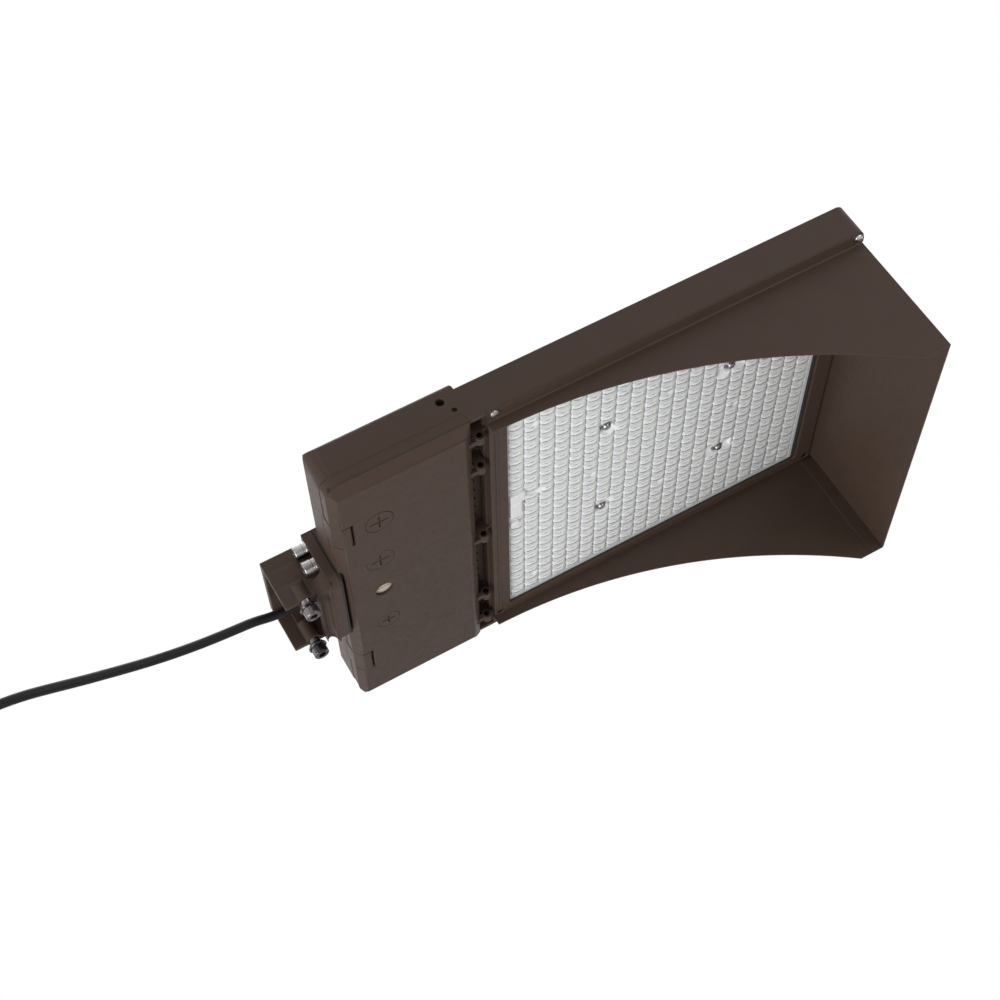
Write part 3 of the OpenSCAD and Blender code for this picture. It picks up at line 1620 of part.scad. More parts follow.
// Three stripped leads at the cord's free end
module cord_leads() {
    lead_off = 1.7 * unit;
    for (k = [0:2])
        translate(coil_route[coil_steps])
            rotate([0, 0, atan2(coil_out[1], coil_out[0])])
                rotate([0, deg_quarter, 0])
                    translate([lead_off * cos(120 * k), lead_off * sin(120 * k), 0])
                        color(lead_colours[k]) {
                            cylinder(lead_l, r = lead_d / 2);
                            cylinder(lead_l + lead_bare, r = lead_bare_r);
                        }
}

pole_arm();
arm_gasket();
flange_screws();
flange_washers();
lock_screws();
lock_washers();
housing();
door_gasket();
hinge_pins();
led_driver();
driver_screws();
surge_protector();
terminal_block();
supply_leads();
driver_leads();
cable_gland();
gland_seal();
gland_nut();
gland_locknut();
cord_entry();
led_board();
lens_array();
lens_frame();
lens_gasket();
lens_screws();
bezel();
bezel_screws();
shield_front();
shield_left();
shield_right();
shield_screws();
driver_door();
selector_switch();
plug_seals();
latch_pins();
latch_left();
latch_right();
large_plug_left();
large_plug_middle();
small_plug();
selector_dial();
power_cord();
cord_coil();
cord_tie();
cord_leads();
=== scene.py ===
import math

import bmesh
import bpy
import numpy as np
from mathutils import Matrix, Vector


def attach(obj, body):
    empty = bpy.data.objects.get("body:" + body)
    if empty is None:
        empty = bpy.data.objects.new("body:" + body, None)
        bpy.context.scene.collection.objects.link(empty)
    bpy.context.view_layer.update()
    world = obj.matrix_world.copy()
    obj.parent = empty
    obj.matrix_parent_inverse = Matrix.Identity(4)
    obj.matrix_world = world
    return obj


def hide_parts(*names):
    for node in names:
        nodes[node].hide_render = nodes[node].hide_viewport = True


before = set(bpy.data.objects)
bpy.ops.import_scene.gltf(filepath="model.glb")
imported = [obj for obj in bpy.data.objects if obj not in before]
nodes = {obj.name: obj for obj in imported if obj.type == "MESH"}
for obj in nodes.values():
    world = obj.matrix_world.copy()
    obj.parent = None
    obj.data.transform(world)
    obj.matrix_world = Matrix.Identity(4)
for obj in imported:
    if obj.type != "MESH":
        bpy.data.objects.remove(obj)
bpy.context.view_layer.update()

# The picture
# The light hangs high up and is seen from below and behind. A camera at the photograph's
# angle, a pale floor far below, and soft light from all round.


def placed(name, data):
    """An object at the origin that shows the data."""
    piece = bpy.data.objects.new(name, data)
    bpy.context.scene.collection.objects.link(piece)
    return piece


camera_data = bpy.data.cameras.new("picture_camera")
camera_data.sensor_width = 36
camera_data.lens = 65.7626
camera_data.clip_start = 0.05
camera_data.clip_end = 60
camera = placed("picture_camera", camera_data)
camera_place = (-0.173828, -1.328724, -0.709826)
camera_right = Vector((0.86848635, 0.01340473, -0.49553182))
camera_up = Vector((0.42988202, -0.51814537, 0.73940978))
camera_turn = Matrix((camera_right, camera_up, camera_right.cross(camera_up))).transposed()
camera.matrix_world = Matrix.Translation(camera_place) @ camera_turn.to_4x4()
bpy.context.scene.camera = camera
bpy.context.scene.view_settings.view_transform = "Standard"


class Value:
    """A number inside a material. Sums written on it add Math nodes."""

    def __init__(self, finish, socket):
        self.finish = finish
        self.socket = socket

    def sum(self, operation, *values):
        return self.finish.node("ShaderNodeMath", {"operation": operation}, dict(enumerate(values)))

    def __add__(self, other):
        return self.sum("ADD", self, other)

    def __radd__(self, other):
        return self.sum("ADD", other, self)

    def __sub__(self, other):
        return self.sum("SUBTRACT", self, other)

    def __rsub__(self, other):
        return self.sum("SUBTRACT", other, self)

    def __mul__(self, other):
        return self.sum("MULTIPLY", self, other)

    def __rmul__(self, other):
        return self.sum("MULTIPLY", other, self)

    def __truediv__(self, other):
        return self.sum("DIVIDE", self, other)

    def __rtruediv__(self, other):
        return self.sum("DIVIDE", other, self)

    def __lt__(self, other):
        return self.sum("LESS_THAN", self, other)

    def __gt__(self, other):
        return self.sum("GREATER_THAN", self, other)

    def __abs__(self):
        return self.sum("ABSOLUTE", self)

    def fraction(self):
        return self.sum("FRACT", self)

    def or_more(self, other):
        return self.sum("MAXIMUM", self, other)


class Finish:
    """One material. Constants go on the shader's own sockets, and node() adds what varies. Most
    of a noise lies between noise_low and noise_high."""

    noise_low = 0.3
    noise_high = 0.7

    def __init__(self, name, **constants):
        self.material = bpy.data.materials.new(name)
        self.material.use_nodes = True
        self.tree = self.material.node_tree
        self.shader = self.tree.nodes["Principled BSDF"]
        for socket, value in constants.items():
            self.shader.inputs[socket.replace("_", " ")].default_value = value

    def node(self, kind, settings=None, inputs=None, output=0):
        """A node of that type: its settings first, then the values or links of its sockets."""
        made = self.tree.nodes.new(kind)
        for key, value in (settings or {}).items():
            setattr(made, key, value)
        for key, value in (inputs or {}).items():
            if isinstance(value, Value):
                self.tree.links.new(value.socket, made.inputs[key])
            else:
                made.inputs[key].default_value = value
        return Value(self, made.outputs[output])

    def feed(self, socket, value):
        self.tree.links.new(value.socket, self.shader.inputs[socket])

    def place(self):
        """The point on the piece, in metres, in the row frame."""
        return self.node("ShaderNodeTexCoord", None, None, "Object")

    def place_along(self, axis):
        """One coordinate of that point."""
        return self.node("ShaderNodeSeparateXYZ", None, {"Vector": self.place()}, axis)

    def noise(self, per_metre, detail=3.0, roughness=0.5, place=None):
        return self.node(
            "ShaderNodeTexNoise",
            {"noise_dimensions": "3D"},
            {"Vector": place or self.place(), "Scale": per_metre, "Detail": detail, "Roughness": roughness},
        )

    def mix(self, share, first, second):
        """A colour between two colours."""
        return self.node("ShaderNodeMix", {"data_type": "RGBA"}, {0: share, 6: first, 7: second}, 2)

    def ramp(self, value, low, high, out_low=0.0, out_high=1.0):
        """The value carried from one span to another, held at its ends."""
        return self.node(
            "ShaderNodeMapRange", {"clamp": True}, {0: value, 1: low, 2: high, 3: out_low, 4: out_high})

    def bump(self, height, metres):
        """Relief of that height in metres."""
        self.feed("Normal", self.node(
            "ShaderNodeBump", None, {"Strength": 1.0, "Distance": metres, "Height": height}))

    def mottle(self, per_metre, dark, light, detail=3.0):
        """Base Color in soft patches between two screen colours."""
        self.feed("Base Color", self.mix(self.noise(per_metre, detail), srgb(*dark), srgb(*light)))

    def shimmer(self, per_metre, smooth, rough, detail):
        """Roughness in patches between two values."""
        self.feed("Roughness", self.ramp(
            self.noise(per_metre, detail), self.noise_low, self.noise_high, smooth, rough))

    def grain(self, per_metre, metres, detail=2.0):
        """A fine even relief."""
        self.bump(self.noise(per_metre, detail), metres)


def srgb(red, green, blue):
    """The linear colour of a screen colour from 0 to 255."""
    level = np.array([red, green, blue]) / 255
    linear = np.where(level <= 0.04045, level / 12.92, ((level + 0.055) / 1.055) ** 2.4)
    return (*linear.tolist(), 1.0)


def wear(piece, finish):
    """The piece takes one material all over."""
    piece.data.materials.clear()
    piece.data.materials.append(finish.material)


floor_z = -1.6
floor_half = 9.0
floor_mesh = bpy.data.meshes.new("floor")
floor_mesh.from_pydata(
    [(x * floor_half, y * floor_half, floor_z) for x, y in ((-1, -1), (1, -1), (1, 1), (-1, 1))],
    [], [(0, 1, 2, 3)],
)
floor = placed("floor", floor_mesh)
floor_paint = Finish("floor_paint", Base_Color=(0.9, 0.9, 0.9, 1), Roughness=0.9)
wear(floor, floor_paint)


class Surroundings(Finish):
    """The world's light, made with the same nodes as a material."""

    def __init__(self, name):
        self.world = bpy.data.worlds.new(name)
        self.world.use_nodes = True
        self.tree = self.world.node_tree
        self.shader = self.tree.nodes["Background"]

    def ray(self, kind):
        return self.node("ShaderNodeLightPath", None, None, kind)


# The world is white where the camera, a polished face or clear plastic looks straight at
# it, and lights everything else at a lower level.
studio = Surroundings("studio")
bpy.context.scene.world = studio.world
world_light = 0.46
world_white = 1.0
looked_at = studio.ray("Is Camera Ray").or_more(studio.ray("Is Glossy Ray"))
looked_at = looked_at.or_more(studio.ray("Is Transmission Ray"))
studio.feed("Strength", studio.ramp(looked_at, 0.0, 1.0, world_light, world_white))
studio.shader.inputs["Color"].default_value = (1, 1, 1, 1)


def soft_lamp(name, place, target, size, watts):
    """A square lamp at place that faces target."""
    lamp_data = bpy.data.lights.new(name, "AREA")
    lamp_data.size = size
    lamp_data.energy = watts
    lamp = placed(name, lamp_data)
    lamp.location = place
    lamp.rotation_euler = (Vector(target) - Vector(place)).to_track_quat("-Z", "Y").to_euler()


whole_middle = (0.3, 0.0, -0.05)
shield_middle = (0.45, -0.16, -0.08)
soft_lamp("lamp_rear_low", place=(-1.6, -0.55, -1.25), target=whole_middle, size=0.9, watts=30)
soft_lamp("lamp_front_side", place=(1.0, -0.85, -0.45), target=shield_middle, size=0.5, watts=2.2)
soft_lamp("lamp_top", place=(0.3, 0.2, 1.8), target=whole_middle, size=1.5, watts=8)

# Pole arm
# A die-cast aluminium channel with a flange, powder-coated dark bronze. It is cast in one
# piece and bolted to the driver box with a foam gasket between.
merge_gap = 2e-6
flat_angle = math.radians(0.6)
sharp_angle = math.radians(28)
room_share = 0.4
same_line_cosine = 0.8


def softened(node, edge, body, left_sharp=()):
    """A copy of a CAD piece with its facets merged and its sharp edges rounded by up to edge
    metres. Sharp edges that run on into each other form a line, and each line has one bevel
    weight: the least room that the other edges at its corners leave, over edge. Corners in
    one of the boxes left_sharp keep their facets and stay sharp."""
    work = bmesh.new()
    work.from_mesh(nodes[node].data)
    bmesh.ops.remove_doubles(work, verts=work.verts, dist=merge_gap)

    def left(corner):
        return any(all(low[k] < corner.co[k] < high[k] for k in range(3)) for low, high in left_sharp)

    def left_line(line):
        return left(line.verts[0]) or left(line.verts[1])

    bmesh.ops.dissolve_limit(
        work, angle_limit=flat_angle, verts=[corner for corner in work.verts if not left(corner)],
        edges=[line for line in work.edges if not left_line(line)])
    weight = work.edges.layers.float.new("bevel_weight_edge")
    for face in work.faces:
        face.smooth = True
    sharp = {line for line in work.edges if line.is_manifold and line.calc_face_angle(0) > sharp_angle}
    for line in work.edges:
        line.smooth = line not in sharp
    sharp = {line for line in sharp if not left_line(line)}
    width, led_by = {}, {}

    def leader(line):
        while led_by.get(line, line) is not line:
            line = led_by[line]
        return line

    for line in sharp:
        along = (line.verts[1].co - line.verts[0].co).normalized()
        width[line] = edge
        for corner in line.verts:
            for other in corner.link_edges:
                reach = other.verts[1].co - other.verts[0].co
                if other is line:
                    continue
                if other in sharp and abs(reach.normalized().dot(along)) > same_line_cosine:
                    led_by[leader(other)] = leader(line)
                else:
                    width[line] = min(width[line], reach.length * room_share)
    for line in sharp:
        first = leader(line)
        width[first] = min(width[first], width[line])
    for line in sharp:
        line[weight] = width[leader(line)] / edge
    mesh = bpy.data.meshes.new(node + "_cast")
    work.to_mesh(mesh)
    work.free()
    piece = placed(node + "_cast", mesh)
    rounding = piece.modifiers.new("rounding", "BEVEL")
    rounding.width = edge
    rounding.segments = 2
    rounding.limit_method = "WEIGHT"
    rounding.use_clamp_overlap = False
    rounding.harden_normals = True
    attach(piece, body)
    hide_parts(node)
    return piece


bronze_paint = Finish("bronze_paint", Roughness=0.48, Specular_IOR_Level=0.22)
bronze_paint.mottle(35, (69, 55, 47), (74, 59, 51), 4)
bronze_paint.shimmer(180, 0.42, 0.54, 4)
bronze_paint.grain(1400, 0.00003)

arm_edge = 0.001
wear(softened("pole_arm", arm_edge, "fixture"), bronze_paint)

gasket_foam = Finish("gasket_foam", Roughness=0.8)
gasket_foam.mottle(900, (40, 44, 42), (54, 58, 55))
gasket_foam.grain(2600, 0.0001, 3)
wear(nodes["arm_gasket"], gasket_foam)

# Cap screws
# Stainless M8 screws with a flat and a spring washer each: four hold the arm on, two clamp
# the pole bracket in the channel. Streaks along each screw are painted reflection.
screw_edge = 0.0004
# The noise span over which the painted reflection goes from its dark to its light colour
reflection_band_low = 0.38
reflection_band_high = 0.62


def steel_with_painted_reflection(name, along_x, along_y, along_z, dark, light):
    """Polished steel with light and dark streaks of painted reflection in its colour, that many to the
    metre on each axis. Its green and blue are a few levels below its red."""
    steel = Finish(name, Metallic=1.0, Roughness=0.3)
    stretched = steel.node(
        "ShaderNodeVectorMath", {"operation": "MULTIPLY"},
        {0: steel.place(), 1: (along_x, along_y, along_z)},
    )
    # Light and dark bands of painted reflection, stretched along the screw's axis
    painted_reflection_bands = steel.ramp(steel.noise(1.0, 2, 0.5, stretched), reflection_band_low, reflection_band_high)
    steel.feed("Base Color", steel.mix(
        painted_reflection_bands, srgb(dark, dark - 3, dark - 3), srgb(light, light - 4, light - 4)))
    steel.shimmer(900, 0.24, 0.38, 3)
    return steel


flange_steel = steel_with_painted_reflection("flange_steel", along_x=8, along_y=190, along_z=190, dark=84, light=200)
for name in ("flange_screws", "flange_washers"):
    wear(softened(name, screw_edge, "fixture"), flange_steel)

clamp_steel = steel_with_painted_reflection("clamp_steel", along_x=230, along_y=230, along_z=8, dark=50, light=150)
# The clamp screws' threads are relief on their shanks, above thread_low
thread_pitch = 0.00125
thread_low = -0.0283
thread_depth = 0.0005
clamp_height = clamp_steel.place_along("Z")
clamp_steel.bump((clamp_height / thread_pitch).fraction() * (clamp_height > thread_low), thread_depth)
for name in ("lock_screws", "lock_washers"):
    wear(softened(name, screw_edge, "fixture"), clamp_steel)

# Cable gland
# A black nylon body screwed through the flange, a clamping nut over a rubber sleeve, and a
# lock nut inside. The jacketed end of the cord lies in it.
black_nylon = Finish("black_nylon", Roughness=0.5)
black_nylon.mottle(300, (22, 22, 23), (30, 30, 32))
black_nylon.grain(2400, 0.00004)
for name in ("cable_gland", "gland_nut", "gland_locknut", "cord_entry"):
    wear(nodes[name], black_nylon)
wear(nodes["gland_seal"], gasket_foam)

# Supply cord
# A round black rubber lead, 8 mm thick. It leaves the gland, sags away from the pole and
# ends in a tied coil with three stripped leads.
cord_d = 0.008
cord_route = np.array([
    [16.2, 0, -5.7], [6, -0.1, -5.8], [-8, -2.6, -6], [-24, -8.2, -6.3], [-42, -11.3, -6.6],
    [-59, -14.4, -7], [-75, -18.3, -7.5], [-90, -22.8, -8], [-105, -28.4, -8.7], [-119, -34.4, -9.4],
    [-134, -41.5, -10.2], [-148, -48.6, -11], [-162, -56, -11.9], [-177, -64.3, -12.8],
    [-191, -72.1, -13.6], [-206, -79.8, -14.4], [-221, -85.5, -15.1], [-238, -89.6, -15.8],
    [-256, -91, -16.3], [-274, -91, -16.7], [-290, -91, -16.8],
]) / 1000
coil_r = 0.042
coil_turns = 2.25
coil_pitch = 0.0087
coil_points = 54


def coil_path(start, radius, turns, pitch, count):
    """A level helix: start plus radius times (-sin, cos - 1) of the turn, falling one pitch a turn."""
    turn = np.linspace(0, turns, count + 1)
    angle = 2 * np.pi * turn
    return start + np.stack([-radius * np.sin(angle), radius * (np.cos(angle) - 1), -pitch * turn], axis=1)


def cord_curve(name, points, radius):
    """A round curve through the points. Each handle is a sixth of the step between the point's
    neighbours away from it."""
    before = np.vstack([2 * points[0] - points[1], points[:-1]])
    after = np.vstack([points[1:], 2 * points[-1] - points[-2]])
    reach = (after - before) / 6
    curve = bpy.data.curves.new(name, "CURVE")
    curve.dimensions = "3D"
    curve.bevel_depth = radius
    curve.bevel_resolution = 6
    curve.resolution_u = 6
    curve.use_fill_caps = True
    spline = curve.splines.new("BEZIER")
    spline.bezier_points.add(len(points) - 1)
    spline.bezier_points.foreach_set("co", points.ravel())
    spline.bezier_points.foreach_set("handle_left", (points - reach).ravel())
    spline.bezier_points.foreach_set("handle_right", (points + reach).ravel())
    return placed(name, curve)


cord_coil = coil_path(cord_route[-1], coil_r, coil_turns, coil_pitch, coil_points)
cord_points = np.vstack([cord_route, cord_coil[1:]])
cord_length = float(np.linalg.norm(np.diff(cord_points, axis=0), axis=1).sum())
supply_cord = cord_curve("supply_cord", cord_points, cord_d / 2)

cord_rubber = Finish("cord_rubber", Roughness=0.42, Specular_IOR_Level=0.25)
cord_rubber.mottle(60, (22, 23, 24), (31, 32, 34), 4)
cord_rubber.shimmer(300, 0.36, 0.5, 2)
cord_rubber.grain(2500, 0.00004)
wear(supply_cord, cord_rubber)
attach(supply_cord, "fixture")
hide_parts("power_cord", "cord_coil")

cord_strap = Finish("cord_strap", Roughness=0.45)
cord_strap.mottle(500, (24, 24, 25), (34, 34, 36))
cord_strap.grain(1800, 0.00003)
wear(nodes["cord_tie"], cord_strap)

lead_ends = Finish("lead_ends", Roughness=0.4)
lead_ends.mottle(400, (58, 58, 60), (82, 82, 84))
lead_ends.grain(2200, 0.00003)
wear(nodes["cord_leads"], lead_ends)

# Housing
# One aluminium die casting, powder-coated: driver box, hinge trough and finned light engine
# together. Steel pins in the trough's knuckles carry the door.
housing_edge = 0.0012
# Crowded inner faces, whose corners are left sharp
hinge_trough = ((0.1735, -0.1665, -0.03), (0.1895, 0.1665, 0.02))
finned_bed = ((0.1895, -0.1705, -0.0078), (0.5395, 0.1705, 0.0093))
driver_bay = ((0.0512, -0.1717, -0.0225), (0.1725, 0.1717, 0.021))
rear_bores = ((0.049, -0.06, -0.016), (0.056, 0.06, 0.0155))
wear(
    softened("housing", housing_edge, "fixture",
             (hinge_trough, finned_bed, driver_bay, rear_bores)),
    bronze_paint,
)

pin_edge = 0.0002
dull_steel = steel_with_painted_reflection("dull_steel", along_x=300, along_y=300, along_z=60, dark=44, light=74)
wear(softened("hinge_pins", pin_edge, "fixture"), dull_steel)

# Driver and wiring
# A potted driver in a pale metal case on two screws, a surge protector, and a terminal block
# with its black leads to the cord and to the driver.
driver_case = Finish("driver_case", Roughness=0.4)
driver_case.mottle(200, (196, 196, 194), (212, 212, 210))
driver_case.grain(1600, 0.00003)
for name in ("led_driver", "terminal_block"):
    wear(nodes[name], driver_case)
for name in ("surge_protector", "supply_leads", "driver_leads"):
    wear(nodes[name], black_nylon)
wear(softened("driver_screws", pin_edge, "fixture"), dull_steel)

# Driver door
# A die-cast tray with bevelled sides, powder-coated, which hangs on five pins over a dark
# rubber gasket and is held by two latches on pins of their own.
door_edge = 0.0014
latch_edge = 0.0004
# The door's crowded faces, whose corners are left sharp
tray_inside = ((0.0535, -0.168, -0.0275), (0.1685, 0.168, -0.0235))
tray_rim = ((0.04, -0.18, -0.0245), (0.19, 0.18, -0.019))
door_bores = ((0.067, -0.112, -0.031), (0.115, 0.112, -0.0268))
wear(
    softened("driver_door", door_edge, "door", (tray_inside, tray_rim, door_bores)),
    bronze_paint,
)
for name, body in (("latch_left", "left_latch"), ("latch_right", "right_latch")):
    wear(softened(name, latch_edge, body), bronze_paint)
wear(softened("latch_pins", pin_edge, "door"), dull_steel)

door_rubber = Finish("door_rubber", Roughness=0.7)
door_rubber.mottle(900, (38, 31, 28), (48, 40, 36))
door_rubber.grain(2600, 0.00006, 3)
wear(nodes["door_gasket"], door_rubber)

# Plugs and dial
# Three cross-slot plugs, turned and painted as the door, on foam seals. A pale plastic dial
# with an orange line sits on a rotary switch behind the door.
plug_edge = 0.00025
for name, body in (("large_plug_left", "plug_a"), ("large_plug_middle", "plug_b"), ("small_plug", "plug_c")):
    wear(softened(name, plug_edge, body), bronze_paint)
wear(nodes["plug_seals"], gasket_foam)

dial_plastic = Finish("dial_plastic", Roughness=0.35)
dial_y = -0.003
dial_line_half = 0.0009
dial_plastic.feed("Base Color", dial_plastic.mix(
    abs(dial_plastic.place_along("Y") - dial_y) < dial_line_half,
    dial_plastic.mix(dial_plastic.noise(400), srgb(176, 172, 163), srgb(196, 192, 183)),
    srgb(196, 152, 98),
))
dial_plastic.grain(1800, 0.00003)
wear(nodes["selector_dial"], dial_plastic)
wear(nodes["selector_switch"], black_nylon)

# LED board
# A white lacquered board with an aluminium core, screwed up to the light engine's base. It
# is seen only through the windows of the lens plate.
board_lacquer = Finish("board_lacquer", Roughness=0.35)
board_lacquer.mottle(250, (226, 228, 227), (238, 239, 238))
board_lacquer.grain(1500, 0.00002)
wear(nodes["led_board"], board_lacquer)

# Lens plate
# One sheet of clear acrylic, injection moulded with 21 by 23 lenslets in rows. It is flat in
# some places and open over the board's four screws.
cells_along = 21
cells_across = 23
cell_length = 0.01452
cell_width = 0.01276
plate_x = 0.2088
plate_y = -cells_across * cell_width / 2
plate_z = -0.0185
dome_h = 0.0009
dome_steps = 10
dome_power = 4
dome_fullness = 0.55
plate_skin = 0.0008
board_screw_xs = (0.30318, 0.4266)
board_screw_y = 0.0638
window_half_cells = (0.5, 1.0)
window_half_across = 0.5
window_inner_share = 0.999
window_slope_share = 0.16
window_hole = 0.0056
window_rise = 0.0036
bare_fade = 3
# Bare places of the plate: x, y and half sizes along and across, in millimetres
bare_places = np.array([
    [308, -57, 8, 5], [308, 57, 8, 5], [418, -57, 8, 5], [418, 57, 8, 5], [233.4, -121.5, 4, 4],
    [233.4, 121.5, 4, 4], [364.5, -70, 4, 3.5], [364.5, 70, 4, 3.5], [291.2, 0, 4, 3.5],
    [436.8, 0, 4, 3.5], [494.5, -123, 5, 4], [494.5, 123, 5, 4], [238.8, -17, 6, 5],
]) / 1000


def lens_sheet(name, steps):
    """The lens plate's lower face. In each cell the depth is the dome's height times
    ((1 - s^4) (1 - t^4))^0.55, where s and t run from -1 to 1 across the cell. The bare
    places are flat, and each window over a screw is a funnel up to the board."""
    a, b = np.meshgrid(
        np.arange(cells_along * steps + 1), np.arange(cells_across * steps + 1), indexing="ij")
    s, t = 2 * (a % steps) / steps - 1, 2 * (b % steps) / steps - 1
    swell = (np.clip(1 - s ** dome_power, 0, 1) * np.clip(1 - t ** dome_power, 0, 1)) ** dome_fullness
    x, y = plate_x + a * cell_length / steps, plate_y + b * cell_width / steps
    bare = np.zeros(x.shape)
    for bare_x, bare_y, half_x, half_y in bare_places:
        fade = bare_fade * (1 - np.hypot((x - bare_x) / half_x, (y - bare_y) / half_y))
        bare = np.maximum(bare, np.clip(fade, 0, 1))
    rise = np.zeros(x.shape)
    hole = np.zeros(x.shape, bool)
    for side in (-1, 1):
        for screw_x, half_cells in zip(board_screw_xs, window_half_cells):
            off_x, off_y = np.abs(x - screw_x), np.abs(y - side * board_screw_y)
            out = np.maximum(off_x / (half_cells * cell_length), off_y / (window_half_across * cell_width))
            inside = out < window_inner_share
            bare[inside] = 1
            rise[inside] = np.clip((1 - out[inside]) / window_slope_share, 0, 1) * window_rise
            hole |= np.maximum(off_x, off_y) < window_hole
    z = plate_z - dome_h * swell * (1 - bare) + rise
    row = x.shape[1]
    corner = (a * row + b)[:-1, :-1]
    kept = ~(hole[:-1, :-1] & hole[1:, :-1] & hole[:-1, 1:] & hole[1:, 1:])
    corner = corner[kept]
    faces = np.stack([corner, corner + 1, corner + row + 1, corner + row], axis=1)
    used, renumbered = np.unique(faces, return_inverse=True)
    points = np.stack([x, y, z], axis=-1).reshape(-1, 3)[used]
    mesh = bpy.data.meshes.new(name)
    mesh.from_pydata(points.tolist(), [], renumbered.reshape(-1, 4).tolist())
    mesh.polygons.foreach_set("use_smooth", np.ones(len(mesh.polygons), bool))
    mesh.attributes.new("bare", "FLOAT", "POINT").data.foreach_set("value", bare.ravel()[used])
    piece = placed(name, mesh)
    skin = piece.modifiers.new("skin", "SOLIDIFY")
    skin.thickness = plate_skin
    skin.offset = -1
    return piece


lens_plate = lens_sheet("lens_plate", dome_steps)
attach(lens_plate, "fixture")
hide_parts("lens_array")

# Each lenslet's colour: a pale grey field with two grey smears of painted shade, dark borders of
# painted shade where cells meet along X, and white streaks of painted highlight that end in the yellow of
# the LED.
lens_acrylic = Finish("lens_acrylic", Roughness=0.16, Coat_Weight=0.2, Specular_IOR_Level=0.35)
lens_ripple = lens_acrylic.noise(260, 2) - 0.5
ripple_along = 0.22
ripple_across = 0.3
mark_full = 0.35
mark_gone = 1.2
lens_u = ((lens_acrylic.place_along("X") - plate_x) / cell_length + lens_ripple * ripple_along).fraction()
lens_v = ((lens_acrylic.place_along("Y") - plate_y) / cell_width + lens_ripple * ripple_across).fraction()


def lens_mark(u, v, half_u, half_v, slope=0.0, curl=0.0):
    """1 inside an oval of the cell with its centre at (u, v), falling to 0 at its edge. The oval
    lies along the curve v + slope d - curl d^2, d being the way from u."""
    off_u = lens_u - u
    across = off_u / half_u
    up = (lens_v - v - off_u * (slope - off_u * curl)) / half_v
    return lens_acrylic.ramp(across * across + up * up, mark_full, mark_gone, 1.0, 0.0)


lens_colour = lens_acrylic.mix(lens_acrylic.noise(420), srgb(212, 213, 215), srgb(238, 239, 238))
# Centre, half sizes, slope and curl of each mark, in cells, and its colour: first the two
# smears of painted shade, then the two borders of painted shade, the two white streaks of painted highlight
# and the yellow
for mark, colour in (
    (lens_mark(0.45, 0.62, 0.55, 0.075, 0.3, 0.9), srgb(158, 159, 160)),
    (lens_mark(0.55, 0.24, 0.3, 0.06, 0.3, 0.6), srgb(186, 187, 188)),
    (lens_mark(0.01, 0.5, 0.045, 0.62), srgb(142, 143, 144)),
    (lens_mark(0.985, 0.5, 0.03, 0.62), srgb(150, 151, 152)),
    (lens_mark(0.1, 0.2, 0.05, 0.26, -0.6), srgb(250, 250, 250)),
    (lens_mark(0.42, 0.44, 0.38, 0.09, 0.3, 0.9), srgb(250, 250, 250)),
    (lens_mark(0.7, 0.36, 0.1, 0.1, -0.3), srgb(246, 247, 214)),
):
    lens_colour = lens_acrylic.mix(mark, lens_colour, colour)
lens_bare = lens_acrylic.node("ShaderNodeAttribute", {"attribute_name": "bare"}, None, "Fac")
lens_acrylic.feed("Base Color", lens_acrylic.mix(lens_bare, lens_colour, srgb(248, 249, 250)))
wear(lens_plate, lens_acrylic)

# Board screws
# Four pan-head steel screws on washers, which hold the board to the light engine's base and
# show through the windows of the lens plate.
screw_sides = 24
# Radius and height of each ring of a screw, in millimetres, from the shank down to the head
screw_rings = np.array([
    [2.0, -13.6], [2.0, -16.6], [4.9, -16.6], [4.9, -17.4], [3.7, -17.4], [3.7, -18.6], [3.1, -19.6],
    [2.0, -20.1],
]) / 1000


def spun(name, centres, rings, sides):
    """Closed turned pieces, one at each centre. The point at angle t of a ring is the centre
    plus (r cos t, r sin t, z), and flat faces close the first and the last ring."""
    turn = np.arange(sides) * 2 * np.pi / sides
    shape = (len(centres), len(rings), sides)
    points = np.empty((*shape, 3))
    points[..., 0] = centres[:, None, None, 0] + rings[None, :, None, 0] * np.cos(turn)
    points[..., 1] = centres[:, None, None, 1] + rings[None, :, None, 0] * np.sin(turn)
    points[..., 2] = rings[None, :, None, 1]
    here = np.arange(points.size // 3).reshape(shape)
    after = np.roll(here, -1, axis=2)
    walls = np.stack([here[:, :-1], here[:, 1:], after[:, 1:], after[:, :-1]], axis=-1).reshape(-1, 4)
    ends = here[:, 0].tolist() + here[:, -1, ::-1].tolist()
    mesh = bpy.data.meshes.new(name)
    mesh.from_pydata(points.reshape(-1, 3).tolist(), [], walls.tolist() + ends)
    return placed(name, mesh)


screw_centres = np.array([(x, side * board_screw_y) for side in (-1, 1) for x in board_screw_xs])
plate_screws = spun("plate_screws", screw_centres, screw_rings, screw_sides)
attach(plate_screws, "fixture")
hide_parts("lens_screws")
plate_steel = Finish("plate_steel", Metallic=1.0, Roughness=0.3)
plate_steel.mottle(700, (120, 120, 120), (190, 190, 190), 2)
plate_steel.grain(1500, 0.00004)
wear(plate_screws, plate_steel)

# Lens frame and wire cover
# The clear moulded frame round the plate with its ring gasket, and a white plastic cover of
# three boxes over the place where the wires go in at the plate's rear edge.
lens_clear = Finish("lens_clear", Roughness=0.15)
lens_clear.mottle(300, (196, 198, 198), (222, 224, 224), 2)
lens_clear.grain(900, 0.00003)
wear(nodes["lens_frame"], lens_clear)
wear(nodes["lens_gasket"], gasket_foam)

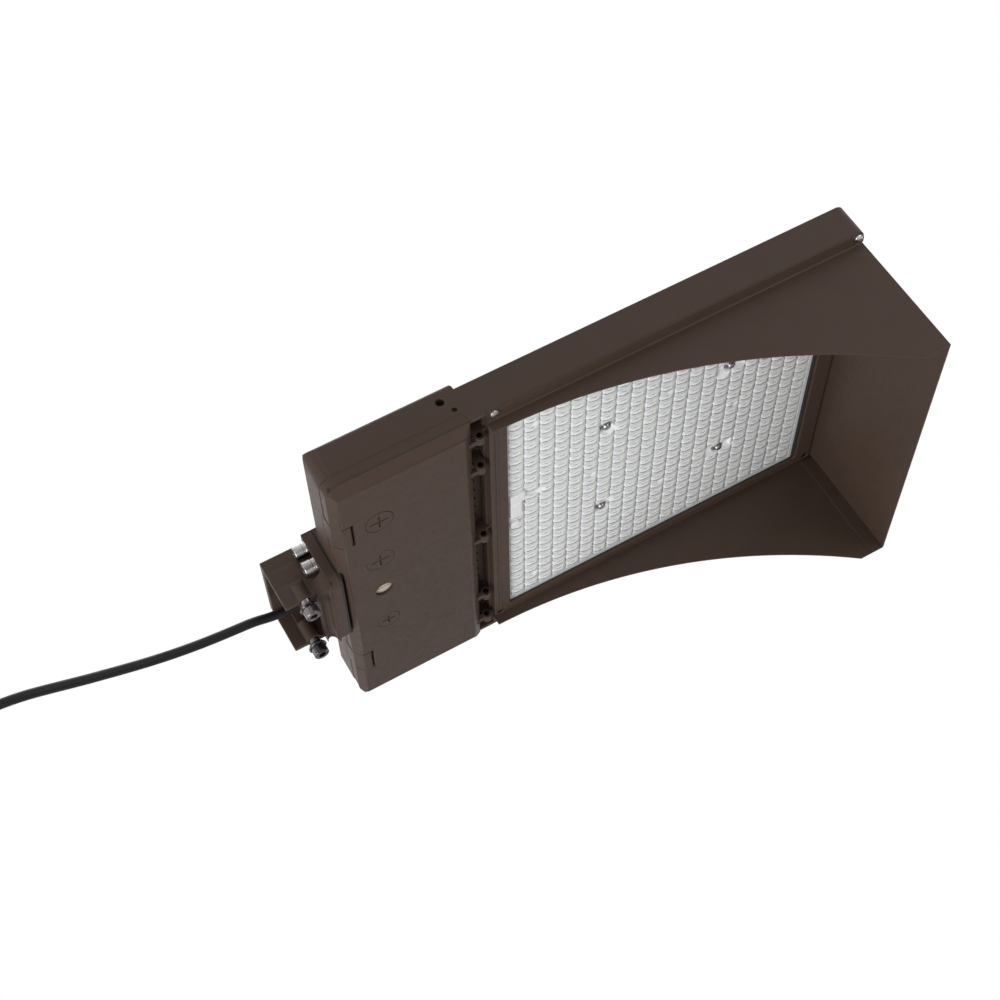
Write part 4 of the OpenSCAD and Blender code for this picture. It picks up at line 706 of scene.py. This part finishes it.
cover_low = -0.0222
cover_sunk = 0.0004
cover_edge = 0.0012
# Low and high x and y of each box, in millimetres
cover_boxes = np.array([
    [[208.8, 223], [-31.4, -18.6]], [[208.8, 220], [-18.6, 3]], [[208.8, 217], [10.8, 18.6]],
]) / 1000


def boxes(name, spans, low, high):
    """Closed boxes. Corner (i, j, k) of a box has its x at end i, its y at end j and its z at end k."""
    i, j, k = np.indices((2, 2, 2)).reshape(3, -1)
    z = np.broadcast_to(np.array([low, high])[k], (len(spans), 8))
    points = np.stack([spans[:, 0, i], spans[:, 1, j], z], axis=-1).reshape(-1, 3)
    sides = np.array([(0, 1, 3, 2), (4, 6, 7, 5), (0, 4, 5, 1), (2, 3, 7, 6), (0, 2, 6, 4), (1, 5, 7, 3)])
    faces = (np.arange(len(spans))[:, None, None] * 8 + sides).reshape(-1, 4)
    mesh = bpy.data.meshes.new(name)
    mesh.from_pydata(points.tolist(), [], faces.tolist())
    return placed(name, mesh)


wire_cover = boxes("wire_cover", cover_boxes, cover_low, plate_z + cover_sunk)
cover_rounding = wire_cover.modifiers.new("edge", "BEVEL")
cover_rounding.width = cover_edge
cover_rounding.segments = 3
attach(wire_cover, "fixture")
cover_plastic = Finish("cover_plastic", Roughness=0.3)
cover_plastic.mottle(500, (222, 223, 223), (240, 240, 240))
cover_plastic.grain(1200, 0.00005)
wear(wire_cover, cover_plastic)

# Bezel
# A die-cast aluminium frame, powder-coated like the housing. Four screws pull it up against
# the frame of the lens plate.
bezel_edge = 0.0008
wear(softened("bezel", bezel_edge, "fixture"), bronze_paint)
wear(softened("bezel_screws", pin_edge, "fixture"), dull_steel)

# Glare shield
# Three folded aluminium sheets, 1.5 mm thick, powder-coated. Four bright pan-head screws go
# through the tabs of the side plates into the housing's rim.
for name in ("shield_front", "shield_left", "shield_right"):
    wear(nodes[name], bronze_paint)
shield_screw_edge = 0.0003
shield_steel = steel_with_painted_reflection("shield_steel", along_x=300, along_y=300, along_z=60, dark=150, light=236)
wear(softened("shield_screws", shield_screw_edge, "fixture"), shield_steel)
